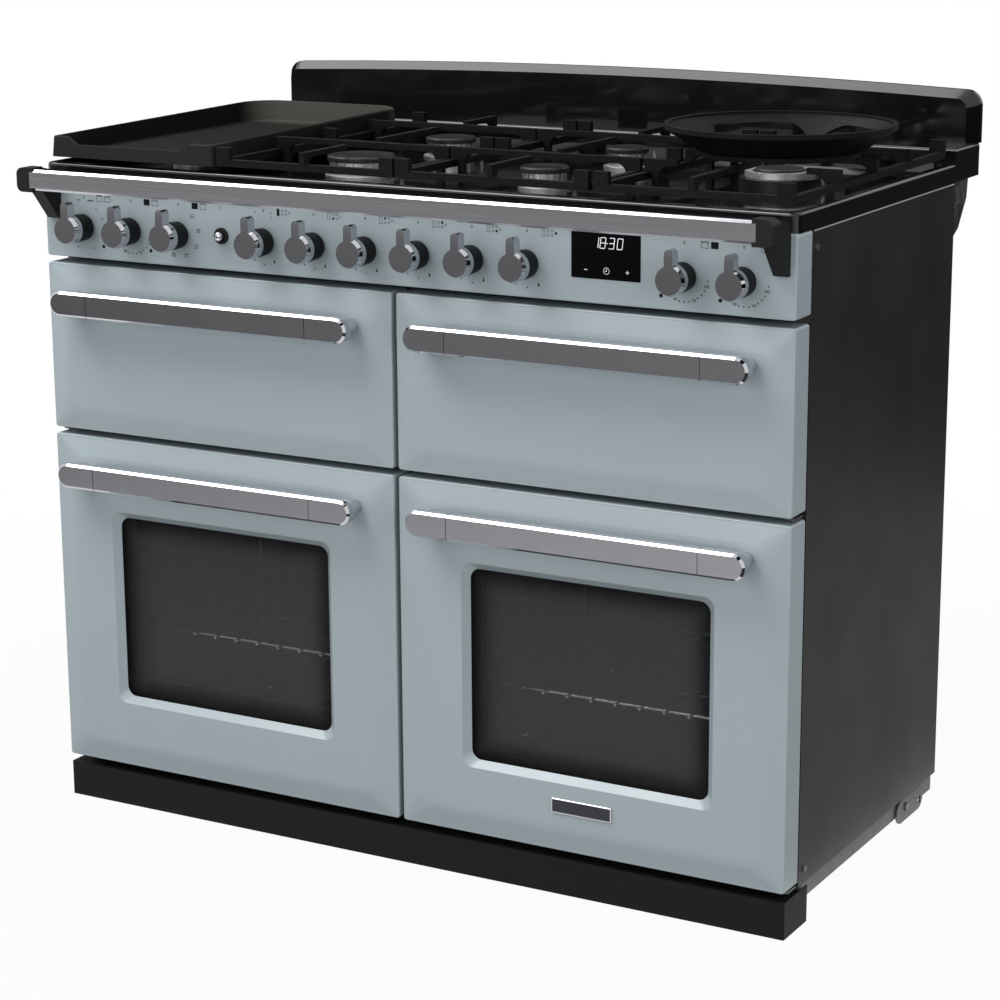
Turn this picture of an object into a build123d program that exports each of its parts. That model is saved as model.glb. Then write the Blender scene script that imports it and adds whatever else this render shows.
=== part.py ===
from build123d import *
import os

# Free-standing dual fuel range cooker. Millimetres, +Z up, front towards -Y.
# The origin is on the floor, under the middle of the footprint.

# Overall sizes
WIDTH = 1090.0
OVEN_DEPTH = 478.0
MOTOR_ROOM = 39.0
REAR_OVERHANG = 91.0
RAIL_REACH = 62.0
HOB_TOP = 893.0
HOB_SKIRT = 24.0
SHEET = 1.5
RUNNING_GAP = 0.05
SEAT_GAP = 0.2
SHELL_GAP = 0.5

HALF = WIDTH / 2
PANEL_REAR = OVEN_DEPTH + MOTOR_ROOM
FACE_TO_REAR = PANEL_REAR + REAR_OVERHANG
SHELL_HALF = HALF - SHEET - SHELL_GAP
FACE = -(FACE_TO_REAR - RAIL_REACH) / 2
FRONT = Plane(origin=(0, FACE, 0), x_dir=(1, 0, 0), z_dir=(0, -1, 0))
HOB_BASE = HOB_TOP - HOB_SKIRT

# Cabinet
PANEL_FRONT = 43.0
PANEL_BASE = 54.6
FLANGE = 18.5
FRAME_SHEET = 2.0
FRAME_BACK = PANEL_FRONT + FRAME_SHEET
FLOOR_SHEET = 2.0
FLOOR_BASE = PANEL_BASE - FLOOR_SHEET
RAIL_X = 540.0
RAIL_BASE = 30.0
BASE_FRONT = 50.0
BASE_REAR = PANEL_REAR - 2.0
VENT_Z = (800.0, 640.0)
VENT_PITCH = 36.0
VENT_COUNT = 9
VENT_L = 44.0
VENT_W = 8.0
GUSSET_FOOT = 790.0
GUSSET_EDGE = [(31.0, 805.0), (59.0, 842.0), (63.0, HOB_BASE)]
PLINTH_TOP = 48.5
PLINTH_FACE = 1.6
PLINTH_RETURN = 72.0

# Doors, drawer front and control panel
CONTROL_BASE = 768.0
UPPER_Z = (532.2, 759.2)
LOWER_Z = (60.1, 523.5)
CENTRE_GAP = 6.8
DOOR_DEPTH = 40.0
DOOR_EDGE_R = 4.0
DOOR_ROLL = 2.0
DOOR_RAISE = 7.0
DOOR_LAND = 3.0
DOOR_BORDER = 31.0
DOOR_BORDER_R = 24.0
DOOR_CROWN_R = 45.0
LEFT_X = (-HALF, -CENTRE_GAP / 2)
RIGHT_X = (CENTRE_GAP / 2, HALF)
DOOR_MID = (HALF + CENTRE_GAP / 2) / 2

# Oven windows
WINDOW_W = 334.0
WINDOW_H = 254.0
WINDOW_Z = 289.0
WINDOW_R = 14.0
REVEAL = 9.0
GLASS_AT = 2.0
GLASS = 4.0
GLASS_LAP = 26.0
INNER_WINDOW_W = 306.0
INNER_WINDOW_H = 226.0

# Handles
HANDLE_W = 466.0
HANDLE_H = 33.0
HANDLE_REACH = 50.0
HANDLE_THICK = 15.0
HANDLE_BEVEL = 3.0
HANDLE_SEAM = 172.3
HANDLE_SLIT = 0.9
POST_TOP_R = 15.0
POST_FOOT_R = 10.0
UPPER_HANDLE_Z = 713.0
LOWER_HANDLE_Z = 478.5

# Hinges
PIN_R = 2.5
OVEN_PIN_X = 538.0
OVEN_PIN_DEPTH = 22.0
HINGE_PLATE = 3.0
PIN_LENGTH = 22.0
PIN_HOLE_ROOM = 1.0
HINGE_ROOM = 2.0
HINGE_INNER = 10.0
HINGE_OUTER = 5.0
HINGE_FRONT = 6.0
BUSH_INSET = 6.0
BUSH_W = 18.0
BUSH_H = 18.0
GRILL_PIN_DEPTH = 6.0
GRILL_PIN_Z = UPPER_Z[0] + 6.8
GRILL_ARM = 4.0
GRILL_ARM_HALF = 3.5
GRILL_ARM_OFFSET = 215.0
ARM_ROOM = 3.0
BUSH_SIDE = 10.0

# Ovens, grill and drawer
OVEN_X = (58.0, 492.0)
OVEN_Z = (95.0, 500.0)
GRILL_X = (-508.0, -42.0)
GRILL_Z = (566.0, 738.0)
GRILL_DEPTH = OVEN_DEPTH - 48.0
CAVITY_FLANGE = 12.0
CAVITY_R = 12.0
SHAFT_HOLE_R = 14.0
LEDGE_Z = 637.0
LEDGE_W = 18.0
LEDGE_FRONT = 60.0
PAN_Y = (72.0, GRILL_DEPTH - 20.0)
PAN_RIM = 12.0
PAN_DEPTH = 36.0
PAN_SIDE = 6.0
DRAWER_X = (58.0, 491.0)
DRAWER_Z = (560.0, 690.0)
DRAWER_DEPTH = OVEN_DEPTH - 48.0
SLIDER_Z = 615.0
SLIDER_H = 10.0
SLIDER_W = 6.0
SLIDER_AT = FRAME_BACK + FRAME_SHEET
RUNNER_LIP = 1.0
RUNNER_GAP = 0.4
DRAWER_ROOM = 10.0

# Knobs and switches
KNOB_PITCH = 76.9
KNOB_Z = 810.5
KNOB_R = 19.0
KNOB_REACH = 44.5
KNOB_FACE_DEPTH = 14.5
KNOB_GAP = 5.0
KNOB_BEVEL = 2.2
KNOB_BEVEL_DEPTH = 6.0
KNOB_FOOT_R = 17.5
TAB_W = 11.4
TAB_TOP = 37.0
SPINDLE_R = 4.0
SPINDLE_IN = 18.0
SPINDLE_HOLE_R = 6.0
VALVE_W = 26.0
VALVE_R = 4.0
VALVE_BACK = 52.0
SWITCH_W = 40.0
SWITCH_R = 3.0
SWITCH_BACK = 42.0
OUTER_KNOB_X = 479.3
PIPE_R = 8.0
PIPE_END = 40.0
PIPE_DEPTH = VALVE_BACK - PIPE_R
PIPE_SINK = 3.0
PIPE_Z = KNOB_Z - VALVE_W / 2 - PIPE_R + PIPE_SINK
INLET_AT = 8.0
INLET_R = 10.48
INLET_L = 30.0
INLET_HOLE_R = 12.0
GAS_KNOBS = [(i - 2.5) * KNOB_PITCH for i in range(6)]
LEFT_KNOBS = [-OUTER_KNOB_X + i * KNOB_PITCH for i in range(3)]
RIGHT_KNOBS = [OUTER_KNOB_X - KNOB_PITCH, OUTER_KNOB_X]
KNOBS = LEFT_KNOBS + GAS_KNOBS + RIGHT_KNOBS
LIGHT_X = -258.5
LIGHT_Z = 813.0
LIGHT_R = 6.0
LIGHT_REACH = 12.0
LIGHT_STEM_R = 3.0
LIGHT_DOME_R = LIGHT_R - 1.0
LIGHT_COLLAR_R = LIGHT_R + 2.0
LIGHT_BEZEL_R = LIGHT_R + 4.5
LIGHT_BEZEL_H = 3.0
LIGHT_WELL_R = LIGHT_R + 0.6
LIGHT_WELL = 7.0
LIGHT_BODY = 3.0
LIGHT_STEM_END = 16.0
LIGHT_BORE_END = 21.0
LIGHT_SWITCH_W = 22.0
CLOCK_X = 298.5
CLOCK_Z = 826.5
CLOCK_W = 93.0
CLOCK_H = 57.0
CLOCK_DEPTH = 22.0
CLOCK_R = 2.0
CLOCK_PROUD = 0.5
CLOCK_LAP = 8.0

# Towel rail along the hob front
RAIL_HALF = 515.0
RAIL_Z = (863.5, 891.0)
RAIL_THICK = 16.0
RAIL_BEVEL = 3.2
CAP_END = 541.0
CAP_Z = (861.0, 893.0)
CAP_BACK = 40.0
ARM_X = (518.0, 537.0)
ARM_TIP_Z = 820.0
ARM_TIP = 6.0
ARM_TOP = 14.0
ARM_TOP_REACH = 4.0
ARM_LAP = 1.0
ARM_CUT = 3.0
CAP_R = 9.0
RAIL_SOCKET = 5.0

# Hob
HOB_FRONT = 2.0
HOB_REAR = FACE_TO_REAR - 2.0
HOB_SHEET = 2.0
HOB_CORNER_R = 12.0
HOB_EDGE_R = 4.0
UPSTAND_AT = PANEL_REAR
UPSTAND_TOP = 912.0
WELL_HALF = 534.0
WELL_Y = (16.0, UPSTAND_AT - 8.0)
WELL_DEPTH = 12.0
WELL_R = 16.0
WELL_DRAFT = 14.0
WELL_FLOOR = HOB_TOP - WELL_DEPTH
SPLASH_FACE = FACE_TO_REAR - 28.0
SPLASH_FACE_HALF = 534.0
SPLASH_FACE_TOP = 970.5
SPLASH_BACK_HALF = 547.0
SPLASH_BACK_TOP = 980.5
SPLASH_BEVEL = 20.0
SPLASH_R = 21.0
SPLASH_FACE_R = 14.0
SPLASH_WALL = 2.0
SPLASH_ARCH = 11.5

# Burners: place across, depth behind the door face, cap radius
BURNER_X = 136.0
HOB_MID = (WELL_Y[0] + WELL_Y[1]) / 2
BURNER_SPREAD = 115.5
BURNER_FRONT = HOB_MID - BURNER_SPREAD
BURNER_REAR = HOB_MID + BURNER_SPREAD
WOK_X = 407.0
RAPID_R = 45.0
LARGE_R = 35.0
MEDIUM_R = 31.0
SMALL_R = 29.0
WOK_SKIRT_R = 51.0
WOK_CROWN_R = (34.0, 44.0)
WOK_SKIRT_TOP = 898.0
WOK_CROWN_TOP = 906.0
BURNERS = [
    (-BURNER_X, BURNER_FRONT, RAPID_R),
    (-BURNER_X, BURNER_REAR, LARGE_R),
    (BURNER_X, BURNER_FRONT, MEDIUM_R),
    (BURNER_X, BURNER_REAR, SMALL_R),
    (WOK_X, HOB_MID, MEDIUM_R),
]
BURNER_THROAT = 8.0
BURNER_SUMP = 850.0
BURNER_SHELF = 884.0
BURNER_HEAD = 902.0
CAP_TOP = 909.0
GRIDDLE_BURNER_X = -403.0
GRIDDLE_BURNER_L = 300.0
GRIDDLE_BURNER_W = 44.0
GRIDDLE_BURNER_LAP = 10.0
GRIDDLE_CAP_LAP = 3.0
GRIDDLE_CAP_H = 5.0
BURNER_SKIRT = 3.0
BURNER_NECK = 3.0
PORTS = 20
PORT_L = 6.0
PORT_W = 2.0
PORT_SILL = 6.0
CAP_EDGE_R = 2.5

# Pan supports, wok ring and griddle
SUPPORT_X = [(-267.0, -1.5), (1.5, 272.0), (278.0, 537.0)]
SUPPORT_Y = (5.0, WELL_Y[1] - 9.0)
SUPPORT_BAR = 9.0
SUPPORT_Z = (902.0, 911.0)
BLOCK_L = 20.0
FINGER_TOP = 926.0
FINGER_BASE = 919.0
FINGER_W = 8.0
FINGER_CLEAR = 40.0
WOK_FINGER_CLEAR = 62.0
WOK_STUB = 44.0
FINGER_HEEL = 14.0
ARCH_BEND = 0.5 ** 0.5
LEG_AT = (10.0, 19.0)
WOK_TOP = 965.0
WOK_R = 145.0
WOK_FOOT_R = 104.0
WOK_WALL = 5.0
WOK_RIM = 6.0
WOK_WINDOW_W = 136.0
WOK_WINDOW_R = 14.0
WOK_BAND = 13.0
GRIDDLE_X = (-535.0, -271.0)
GRIDDLE_Y = (2.0, WELL_Y[1] - 18.0)
GRIDDLE_Z = (901.0, 934.0)
GRIDDLE_FRONT_TOP = 928.0
GRIDDLE_FLOOR = 5.0
GRIDDLE_DRAFT = 6.0
GRIDDLE_WALL = 9.0
GRIDDLE_FRONT_R = 9.0
GRIDDLE_REAR_R = 52.0
GRIDDLE_EDGE_R = 2.0
GRIDDLE_SCOOP = (-508.0, -308.0)
GRIDDLE_LIP = 917.5
GRIDDLE_LIP_RUN = 14.0
GRIDDLE_LIP_DEPTH = 38.0
GRIDDLE_FOOT_R = 7.0
GRIDDLE_FOOT_X = 100.0
GRIDDLE_FOOT_Y = 190.0

# Inside the ovens
SHELF_LEVELS = [141.0, 232.0, 323.0, 414.0]
SHELF_AT = SHELF_LEVELS[:2]
WIRE_R = 2.5
SHELF_WIRE_R = 3.0
SHELF_BAR_R = 2.0
SHELF_INSET = 9.0
WELD = 0.6
SHELF_END = 12.0
SHELF_Y = (75.0, OVEN_DEPTH - 53.0)
RACK_POST_Y = (110.0, OVEN_DEPTH - 78.0)
RACK_Z = (125.0, 450.0)
SHELF_BARS = 11
FAN_R = 72.0
FAN_BACK = OVEN_DEPTH - 9.0
FAN_FRONT = OVEN_DEPTH - 25.0
FAN_HUB_R = 9.0
SHAFT_R = 3.0
BAFFLE_AT = OVEN_DEPTH - 38.0
BAFFLE_W = 330.0
BAFFLE_R = 12.0
INTAKE_R = 36.0
INTAKE_SLOTS = 10
INTAKE_L = 40.0
INTAKE_W = 7.0
OUTLET_SLOTS = 5
OUTLET_INSET = 16.0
OUTLET_PITCH = 48.0
OUTLET_L = 34.0
OUTLET_W = 8.0
STANDOFF_INSET = 30.0
STANDOFF_R = 4.0
BLADES = 10
BLADE_L = 40.0
BLADE_R = 50.0
ELEMENT_R = 3.5
RING_R = 95.0
RING_AT = OVEN_DEPTH - 16.0
RING_TAIL = 12.0
GRILL_RUNS = 6
GRILL_PITCH = 72.0
GRILL_FRONT = 120.0
GRILL_BEND = GRILL_DEPTH - 90.0
GRILL_DROP = 14.0
OVEN_MID_X = (OVEN_X[0] + OVEN_X[1]) / 2
OVEN_MID_Z = (OVEN_Z[0] + OVEN_Z[1]) / 2
MOTOR_R = 32.0
MOTOR_BACK = PANEL_REAR - 5.0

# What it stands on
FOOT_X = 470.0
FOOT_Y = 95.0
FOOT_R = 20.0
FOOT_H = 10.0
FOOT_STUD_R = 6.0
ROLLER_R = 25.0
ROLLER_W = 24.0
ROLLER_X = 495.0
ROLLER_EDGE = 2.0
AXLE_R = 5.0
AXLE_HALF = 519.0
AXLE_Y = PANEL_REAR - 49.0
EAR = 3.0
EAR_GAP = 4.0
EAR_R = 14.0
BRACKET = 2.5
BRACKET_Y = AXLE_Y - 37.0
BRACKET_Z = 35.0
BRACKET_L = 96.0
BRACKET_H = 33.0
BRACKET_HOLE = (BRACKET_Y + 36.0, 31.0)
BRACKET_HOLE_R = 5.0
BRACKET_BOLT = (BRACKET_Y - 14.0, 37.0)
BOLT_R = 6.0
SIDE_SCREWS = [(60.5, 73.7), (57.4, 846.8)]
SCREW_R = 4.5
SCREW_H = 2.0


def behind(depth):
    """Upright plane, facing the front, a given depth behind the door face."""
    return FRONT.offset(-depth)


def area(x0, x1, y0, y1, radius=0.0, mode=Mode.ADD):
    """Rectangle given by its edges, with rounded corners if a radius is given."""
    with Locations(((x0 + x1) / 2, (y0 + y1) / 2)):
        if radius:
            RectangleRounded(x1 - x0, y1 - y0, radius, mode=mode)
        else:
            Rectangle(x1 - x0, y1 - y0, mode=mode)


def save(piece, name):
    """Label a finished piece and write it under its own name."""
    piece.part.label = name
    export_step(piece.part, f"parts/{name}.step")


os.makedirs("parts", exist_ok=True)

# Base frame: folded floor pan on side rails, with rounded roller brackets
with BuildPart() as base_frame:
    with BuildSketch(Plane.XY.offset(FLOOR_BASE)):
        area(-SHELL_HALF, SHELL_HALF, FACE + BASE_FRONT, FACE + PANEL_REAR)
    extrude(amount=FLOOR_SHEET)
    with BuildSketch(Plane.XY.offset(RAIL_BASE)):
        area(-RAIL_X, RAIL_X, FACE + BASE_FRONT, FACE + BASE_REAR)
        area(
            -RAIL_X + SHEET, RAIL_X - SHEET,
            FACE + BASE_FRONT + SHEET, FACE + BASE_REAR - SHEET, mode=Mode.SUBTRACT,
        )
    extrude(amount=FLOOR_BASE - RAIL_BASE)
    for middle in (-ROLLER_X, ROLLER_X):
        for x in (middle - ROLLER_W / 2 - EAR_GAP - EAR, middle + ROLLER_W / 2 + EAR_GAP):
            with BuildSketch(Plane.YZ.offset(x)):
                with Locations((FACE + AXLE_Y, ROLLER_R)):
                    Circle(EAR_R)
                area(FACE + AXLE_Y - EAR_R, FACE + AXLE_Y + EAR_R, ROLLER_R, FLOOR_BASE)
                with Locations((FACE + AXLE_Y, ROLLER_R)):
                    Circle(AXLE_R + RUNNING_GAP, mode=Mode.SUBTRACT)
            extrude(amount=EAR)
    for x in (-RAIL_X - BRACKET, RAIL_X):
        with BuildSketch(Plane.YZ.offset(x)):
            with Locations((FACE + BRACKET_Y, BRACKET_Z)):
                SlotOverall(BRACKET_L, BRACKET_H)
            with Locations((FACE + BRACKET_HOLE[0], BRACKET_HOLE[1])):
                Circle(BRACKET_HOLE_R, mode=Mode.SUBTRACT)
        extrude(amount=BRACKET)
save(base_frame, "base_frame")

# Side panels: sheet steel with returns at the front, rear and foot
for side, name in ((-1, "left_side_panel"), (1, "right_side_panel")):
    with BuildPart() as side_panel:
        with BuildSketch(Plane.XY.offset(PANEL_BASE)):
            outer, inner = side * HALF, side * (HALF - SHEET)
            area(min(outer, inner), max(outer, inner), FACE + PANEL_FRONT, FACE + PANEL_REAR)
            flange = side * (HALF - SHEET - FLANGE)
            area(
                min(inner, flange), max(inner, flange),
                FACE + PANEL_FRONT, FACE + PANEL_FRONT + SHEET,
            )
            area(
                min(inner, flange), max(inner, flange),
                FACE + PANEL_REAR - SHEET, FACE + PANEL_REAR,
            )
        extrude(amount=HOB_BASE - PANEL_BASE)
        with BuildSketch(Plane.XY.offset(PANEL_BASE)):
            area(
                min(outer, flange), max(outer, flange),
                FACE + PANEL_FRONT, FACE + PANEL_REAR,
            )
        extrude(amount=SHEET)
    save(side_panel, name)

# Rear panel: vented sheet with two gussets under the hob's overhang
with BuildPart() as rear_panel:
    with BuildSketch(behind(PANEL_REAR)):
        area(-SHELL_HALF, SHELL_HALF, PANEL_BASE, HOB_BASE)
        for x in (-DOOR_MID, DOOR_MID):
            with Locations([(x, z) for z in VENT_Z]):
                with GridLocations(VENT_PITCH, 0, VENT_COUNT, 1):
                    SlotOverall(VENT_L, VENT_W, rotation=90, mode=Mode.SUBTRACT)
        with Locations((0, PIPE_Z)):
            Circle(INLET_HOLE_R, mode=Mode.SUBTRACT)
    extrude(amount=-SHEET)
    for x in (-RAIL_X, RAIL_X - SHEET):
        with BuildSketch(Plane.YZ.offset(x)):
            with BuildLine():
                Polyline(
                    (FACE + PANEL_REAR + SHEET, HOB_BASE),
                    (FACE + PANEL_REAR + SHEET, GUSSET_FOOT),
                    *[(FACE + PANEL_REAR + reach, z) for reach, z in GUSSET_EDGE],
                    close=True,
                )
            make_face()
        extrude(amount=SHEET)
save(rear_panel, "rear_panel")

# Plinth: folded kick strip with side returns and a top shelf that reaches the base
with BuildPart() as plinth:
    with BuildSketch(Plane.XY):
        area(-HALF, HALF, FACE + PLINTH_FACE, FACE + PLINTH_RETURN)
        area(
            -HALF + SHEET, HALF - SHEET,
            FACE + PLINTH_FACE + SHEET, FACE + PLINTH_RETURN, mode=Mode.SUBTRACT,
        )
    extrude(amount=PLINTH_TOP)
    with BuildSketch(Plane.XY.offset(PLINTH_TOP)):
        area(-HALF + SHEET, HALF - SHEET, FACE + PLINTH_FACE + SHEET, FACE + BASE_FRONT)
    extrude(amount=-SHEET)
    fillet(plinth.edges().filter_by(Axis.Z).sort_by(Axis.Y)[:2], SHEET)
save(plinth, "plinth")

# Front frame: the plate that the cavities and hinges are fixed to
with BuildPart() as front_frame:
    with BuildSketch(behind(PANEL_FRONT)):
        frame_half = HALF - SHEET - FLANGE
        area(-frame_half, frame_half, PANEL_BASE, CONTROL_BASE)
        area(*OVEN_X, *OVEN_Z, CAVITY_R, Mode.SUBTRACT)
        area(-OVEN_X[1], -OVEN_X[0], *OVEN_Z, CAVITY_R, Mode.SUBTRACT)
        area(*GRILL_X, *GRILL_Z, CAVITY_R, Mode.SUBTRACT)
        area(
            DRAWER_X[0] - DRAWER_ROOM, DRAWER_X[1] + DRAWER_ROOM,
            DRAWER_Z[0] - DRAWER_ROOM, DRAWER_Z[1] + DRAWER_ROOM, DOOR_EDGE_R, Mode.SUBTRACT,
        )
    extrude(amount=-FRAME_SHEET)
save(front_frame, "front_frame")


def cavity(x_span, z_span, depth):
    """Enamelled liner: an open box with a flange that sits on the front frame."""
    x0, x1 = x_span
    z0, z1 = z_span
    with BuildPart() as liner:
        with BuildSketch(behind(FRAME_BACK)):
            area(
                x0 - CAVITY_FLANGE, x1 + CAVITY_FLANGE,
                z0 - CAVITY_FLANGE, z1 + CAVITY_FLANGE,
            )
        extrude(amount=-SHEET)
        with BuildSketch(behind(FRAME_BACK)):
            area(x0 - SHEET, x1 + SHEET, z0 - SHEET, z1 + SHEET, CAVITY_R + SHEET)
        extrude(amount=-(depth + SHEET - FRAME_BACK))
        with BuildSketch(behind(FRAME_BACK)):
            area(x0, x1, z0, z1, CAVITY_R)
        extrude(amount=-(depth - FRAME_BACK), mode=Mode.SUBTRACT)
    return liner


for side, name in ((-1, "left_oven_cavity"), (1, "right_oven_cavity")):
    spans = sorted(side * x for x in OVEN_X)
    oven_liner = cavity(spans, OVEN_Z, OVEN_DEPTH)
    with BuildPart() as oven_cavity:
        add(oven_liner.part)
        with BuildSketch(behind(OVEN_DEPTH)):
            with Locations((side * OVEN_MID_X, OVEN_MID_Z)):
                Circle(SHAFT_HOLE_R)
        extrude(amount=-SHEET, mode=Mode.SUBTRACT)
    save(oven_cavity, name)

# Grill cavity: the same liner with a pressed ledge on each side for the grill pan
grill_liner = cavity(GRILL_X, GRILL_Z, GRILL_DEPTH)
with BuildPart() as grill_cavity:
    add(grill_liner.part)
    with BuildSketch(Plane.XY.offset(LEDGE_Z)):
        area(GRILL_X[0], GRILL_X[0] + LEDGE_W, FACE + LEDGE_FRONT, FACE + GRILL_DEPTH)
        area(GRILL_X[1] - LEDGE_W, GRILL_X[1], FACE + LEDGE_FRONT, FACE + GRILL_DEPTH)
    extrude(amount=-SHEET)
save(grill_cavity, "grill_cavity")

# Grill pan: pressed tray hung by its rim on the ledges
with BuildPart() as grill_pan:
    tray_x = (GRILL_X[0] + LEDGE_W + PAN_SIDE, GRILL_X[1] - LEDGE_W - PAN_SIDE)
    tray_y = (FACE + PAN_Y[0] + PAN_RIM, FACE + PAN_Y[1] - PAN_RIM)
    with BuildSketch(Plane.XY.offset(LEDGE_Z)):
        area(
            GRILL_X[0] + PAN_SIDE, GRILL_X[1] - PAN_SIDE,
            FACE + PAN_Y[0], FACE + PAN_Y[1], PAN_RIM,
        )
    extrude(amount=SHEET)
    with BuildSketch(Plane.XY.offset(LEDGE_Z + SHEET)):
        area(*tray_x, *tray_y, PAN_RIM)
    extrude(amount=-PAN_DEPTH)
    with BuildSketch(Plane.XY.offset(LEDGE_Z + SHEET)):
        area(
            tray_x[0] + SHEET, tray_x[1] - SHEET,
            tray_y[0] + SHEET, tray_y[1] - SHEET, PAN_RIM - SHEET,
        )
    extrude(amount=SHEET - PAN_DEPTH, mode=Mode.SUBTRACT)
save(grill_pan, "grill_pan")


def door_skin(x_span, z_span):
    """Pressed outer skin: a shallow tray whose face rises to a soft centre panel."""
    x0, x1 = x_span
    z0, z1 = z_span
    slope = DOOR_LAND + 4 * SHEET
    crown = DOOR_BORDER + SHEET
    with BuildPart() as skin:
        with BuildSketch(FRONT):
            area(x0, x1, z0, z1, DOOR_EDGE_R)
        extrude(amount=-DOOR_DEPTH)
        fillet(skin.faces().sort_by(Axis.Y)[0].edges(), DOOR_ROLL)
        with BuildSketch(FRONT):
            area(x0 + DOOR_LAND, x1 - DOOR_LAND, z0 + DOOR_LAND, z1 - DOOR_LAND, DOOR_EDGE_R)
        with BuildSketch(FRONT.offset(DOOR_RAISE)):
            area(
                x0 + DOOR_BORDER, x1 - DOOR_BORDER,
                z0 + DOOR_BORDER, z1 - DOOR_BORDER, DOOR_BORDER_R,
            )
        loft(ruled=True)
        fillet(skin.faces().sort_by(Axis.Y)[0].edges(), DOOR_CROWN_R)
        with BuildSketch(behind(SHEET)):
            area(x0 + SHEET, x1 - SHEET, z0 + SHEET, z1 - SHEET, DOOR_EDGE_R - SHEET)
        extrude(amount=-(DOOR_DEPTH - SHEET), mode=Mode.SUBTRACT)
        with BuildSketch(behind(SHEET)):
            area(x0 + slope, x1 - slope, z0 + slope, z1 - slope, DOOR_EDGE_R)
        with BuildSketch(FRONT.offset(DOOR_RAISE - SHEET)):
            area(x0 + crown, x1 - crown, z0 + crown, z1 - crown, DOOR_BORDER_R)
        loft(ruled=True, mode=Mode.SUBTRACT)
    return skin


def window_area(x, width, height, radius, mode=Mode.ADD):
    """Rounded window outline centred on an oven door."""
    with Locations((x, WINDOW_Z)):
        RectangleRounded(width, height, radius, mode=mode)


# Oven doors: skin with a bevelled window, steel liner, two panes and a bar handle
for side, hand, x_span in ((-1, "left", LEFT_X), (1, "right", RIGHT_X)):
    x_mid = side * DOOR_MID
    x0, x1 = x_span
    z0, z1 = LOWER_Z
    pin_x = side * OVEN_PIN_X
    oven_skin = door_skin(x_span, LOWER_Z)
    with BuildPart() as door_panel:
        add(oven_skin.part)
        with BuildSketch(behind(GLASS_AT)):
            wall = 2 * FRAME_SHEET
            window_area(x_mid, WINDOW_W + wall, WINDOW_H + wall, WINDOW_R + FRAME_SHEET)
        with BuildSketch(FRONT.offset(DOOR_RAISE - SHEET / 2)):
            wall = 2 * (REVEAL + FRAME_SHEET)
            window_area(x_mid, WINDOW_W + wall, WINDOW_H + wall, WINDOW_R + FRAME_SHEET)
        loft(ruled=True)
        with BuildSketch(behind(GLASS_AT)):
            window_area(x_mid, WINDOW_W, WINDOW_H, WINDOW_R)
        with BuildSketch(FRONT.offset(DOOR_RAISE)):
            window_area(x_mid, WINDOW_W + 2 * REVEAL, WINDOW_H + 2 * REVEAL, WINDOW_R)
        loft(ruled=True, mode=Mode.SUBTRACT)
        with BuildSketch(Plane.XY.offset(z0)):
            with Locations((pin_x, FACE + OVEN_PIN_DEPTH)):
                Circle(PIN_R + PIN_HOLE_ROOM)
        extrude(amount=z1 - z0, mode=Mode.SUBTRACT)
    save(door_panel, f"{hand}_door_panel")

    with BuildPart() as door_liner:
        with BuildSketch(behind(DOOR_DEPTH)):
            area(x0 + SHEET, x1 - SHEET, z0 + SHEET, z1 - SHEET, DOOR_EDGE_R - SHEET)
            window_area(x_mid, INNER_WINDOW_W, INNER_WINDOW_H, WINDOW_R, Mode.SUBTRACT)
        extrude(amount=SHEET)
        edge_x = side * (HALF - SHEET)
        inner_x = pin_x - side * BUSH_W / 2
        for z in (z0 + BUSH_INSET, z1 - BUSH_INSET - BUSH_H):
            with BuildSketch(Plane.XY.offset(z)):
                area(
                    min(edge_x, inner_x), max(edge_x, inner_x),
                    FACE + OVEN_PIN_DEPTH - BUSH_W / 2, FACE + DOOR_DEPTH - SHEET,
                )
                with Locations((pin_x, FACE + OVEN_PIN_DEPTH)):
                    Circle(PIN_R + RUNNING_GAP, mode=Mode.SUBTRACT)
            extrude(amount=BUSH_H)
    save(door_liner, f"{hand}_door_liner")

    with BuildPart() as door_glazing:
        with BuildSketch(behind(GLASS_AT)):
            window_area(x_mid, WINDOW_W + GLASS_LAP, WINDOW_H + GLASS_LAP, WINDOW_R)
        extrude(amount=-GLASS)
        with BuildSketch(behind(DOOR_DEPTH - SHEET)):
            window_area(x_mid, INNER_WINDOW_W + GLASS_LAP, INNER_WINDOW_H + GLASS_LAP, WINDOW_R)
        extrude(amount=GLASS)
    save(door_glazing, f"{hand}_door_glazing")

# Grill door: drop-down skin with notches and bushes for its two hinge arms
grill_skin = door_skin(LEFT_X, UPPER_Z)
GRILL_ARMS = [-DOOR_MID - GRILL_ARM_OFFSET, -DOOR_MID + GRILL_ARM_OFFSET]
with BuildPart() as grill_door:
    add(grill_skin.part)
    with BuildSketch(behind(DOOR_DEPTH)):
        area(
            LEFT_X[0] + SHEET, LEFT_X[1] - SHEET,
            UPPER_Z[0] + SHEET, UPPER_Z[1] - SHEET, DOOR_EDGE_R - SHEET,
        )
    extrude(amount=SHEET)
    for x in GRILL_ARMS:
        notch = GRILL_ARM / 2 + ARM_ROOM
        with BuildSketch(behind(SHEET)):
            area(
                x - notch - BUSH_SIDE, x + notch + BUSH_SIDE,
                UPPER_Z[0] + DOOR_ROLL, GRILL_PIN_Z + BUSH_SIDE,
            )
        extrude(amount=-BUSH_SIDE)
        with BuildSketch(behind(SHEET)):
            area(x - notch, x + notch, UPPER_Z[0], GRILL_PIN_Z + BUSH_W)
        extrude(amount=-(DOOR_DEPTH - SHEET), mode=Mode.SUBTRACT)
        with BuildSketch(Plane.YZ.offset(x - notch - BUSH_SIDE)):
            with Locations((FACE + GRILL_PIN_DEPTH, GRILL_PIN_Z)):
                Circle(PIN_R + RUNNING_GAP)
        extrude(amount=2 * (notch + BUSH_SIDE), mode=Mode.SUBTRACT)
save(grill_door, "grill_door")

# Drawer front: the same skin, with no notches
drawer_front = door_skin(RIGHT_X, UPPER_Z)
save(drawer_front, "drawer_front")

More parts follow.
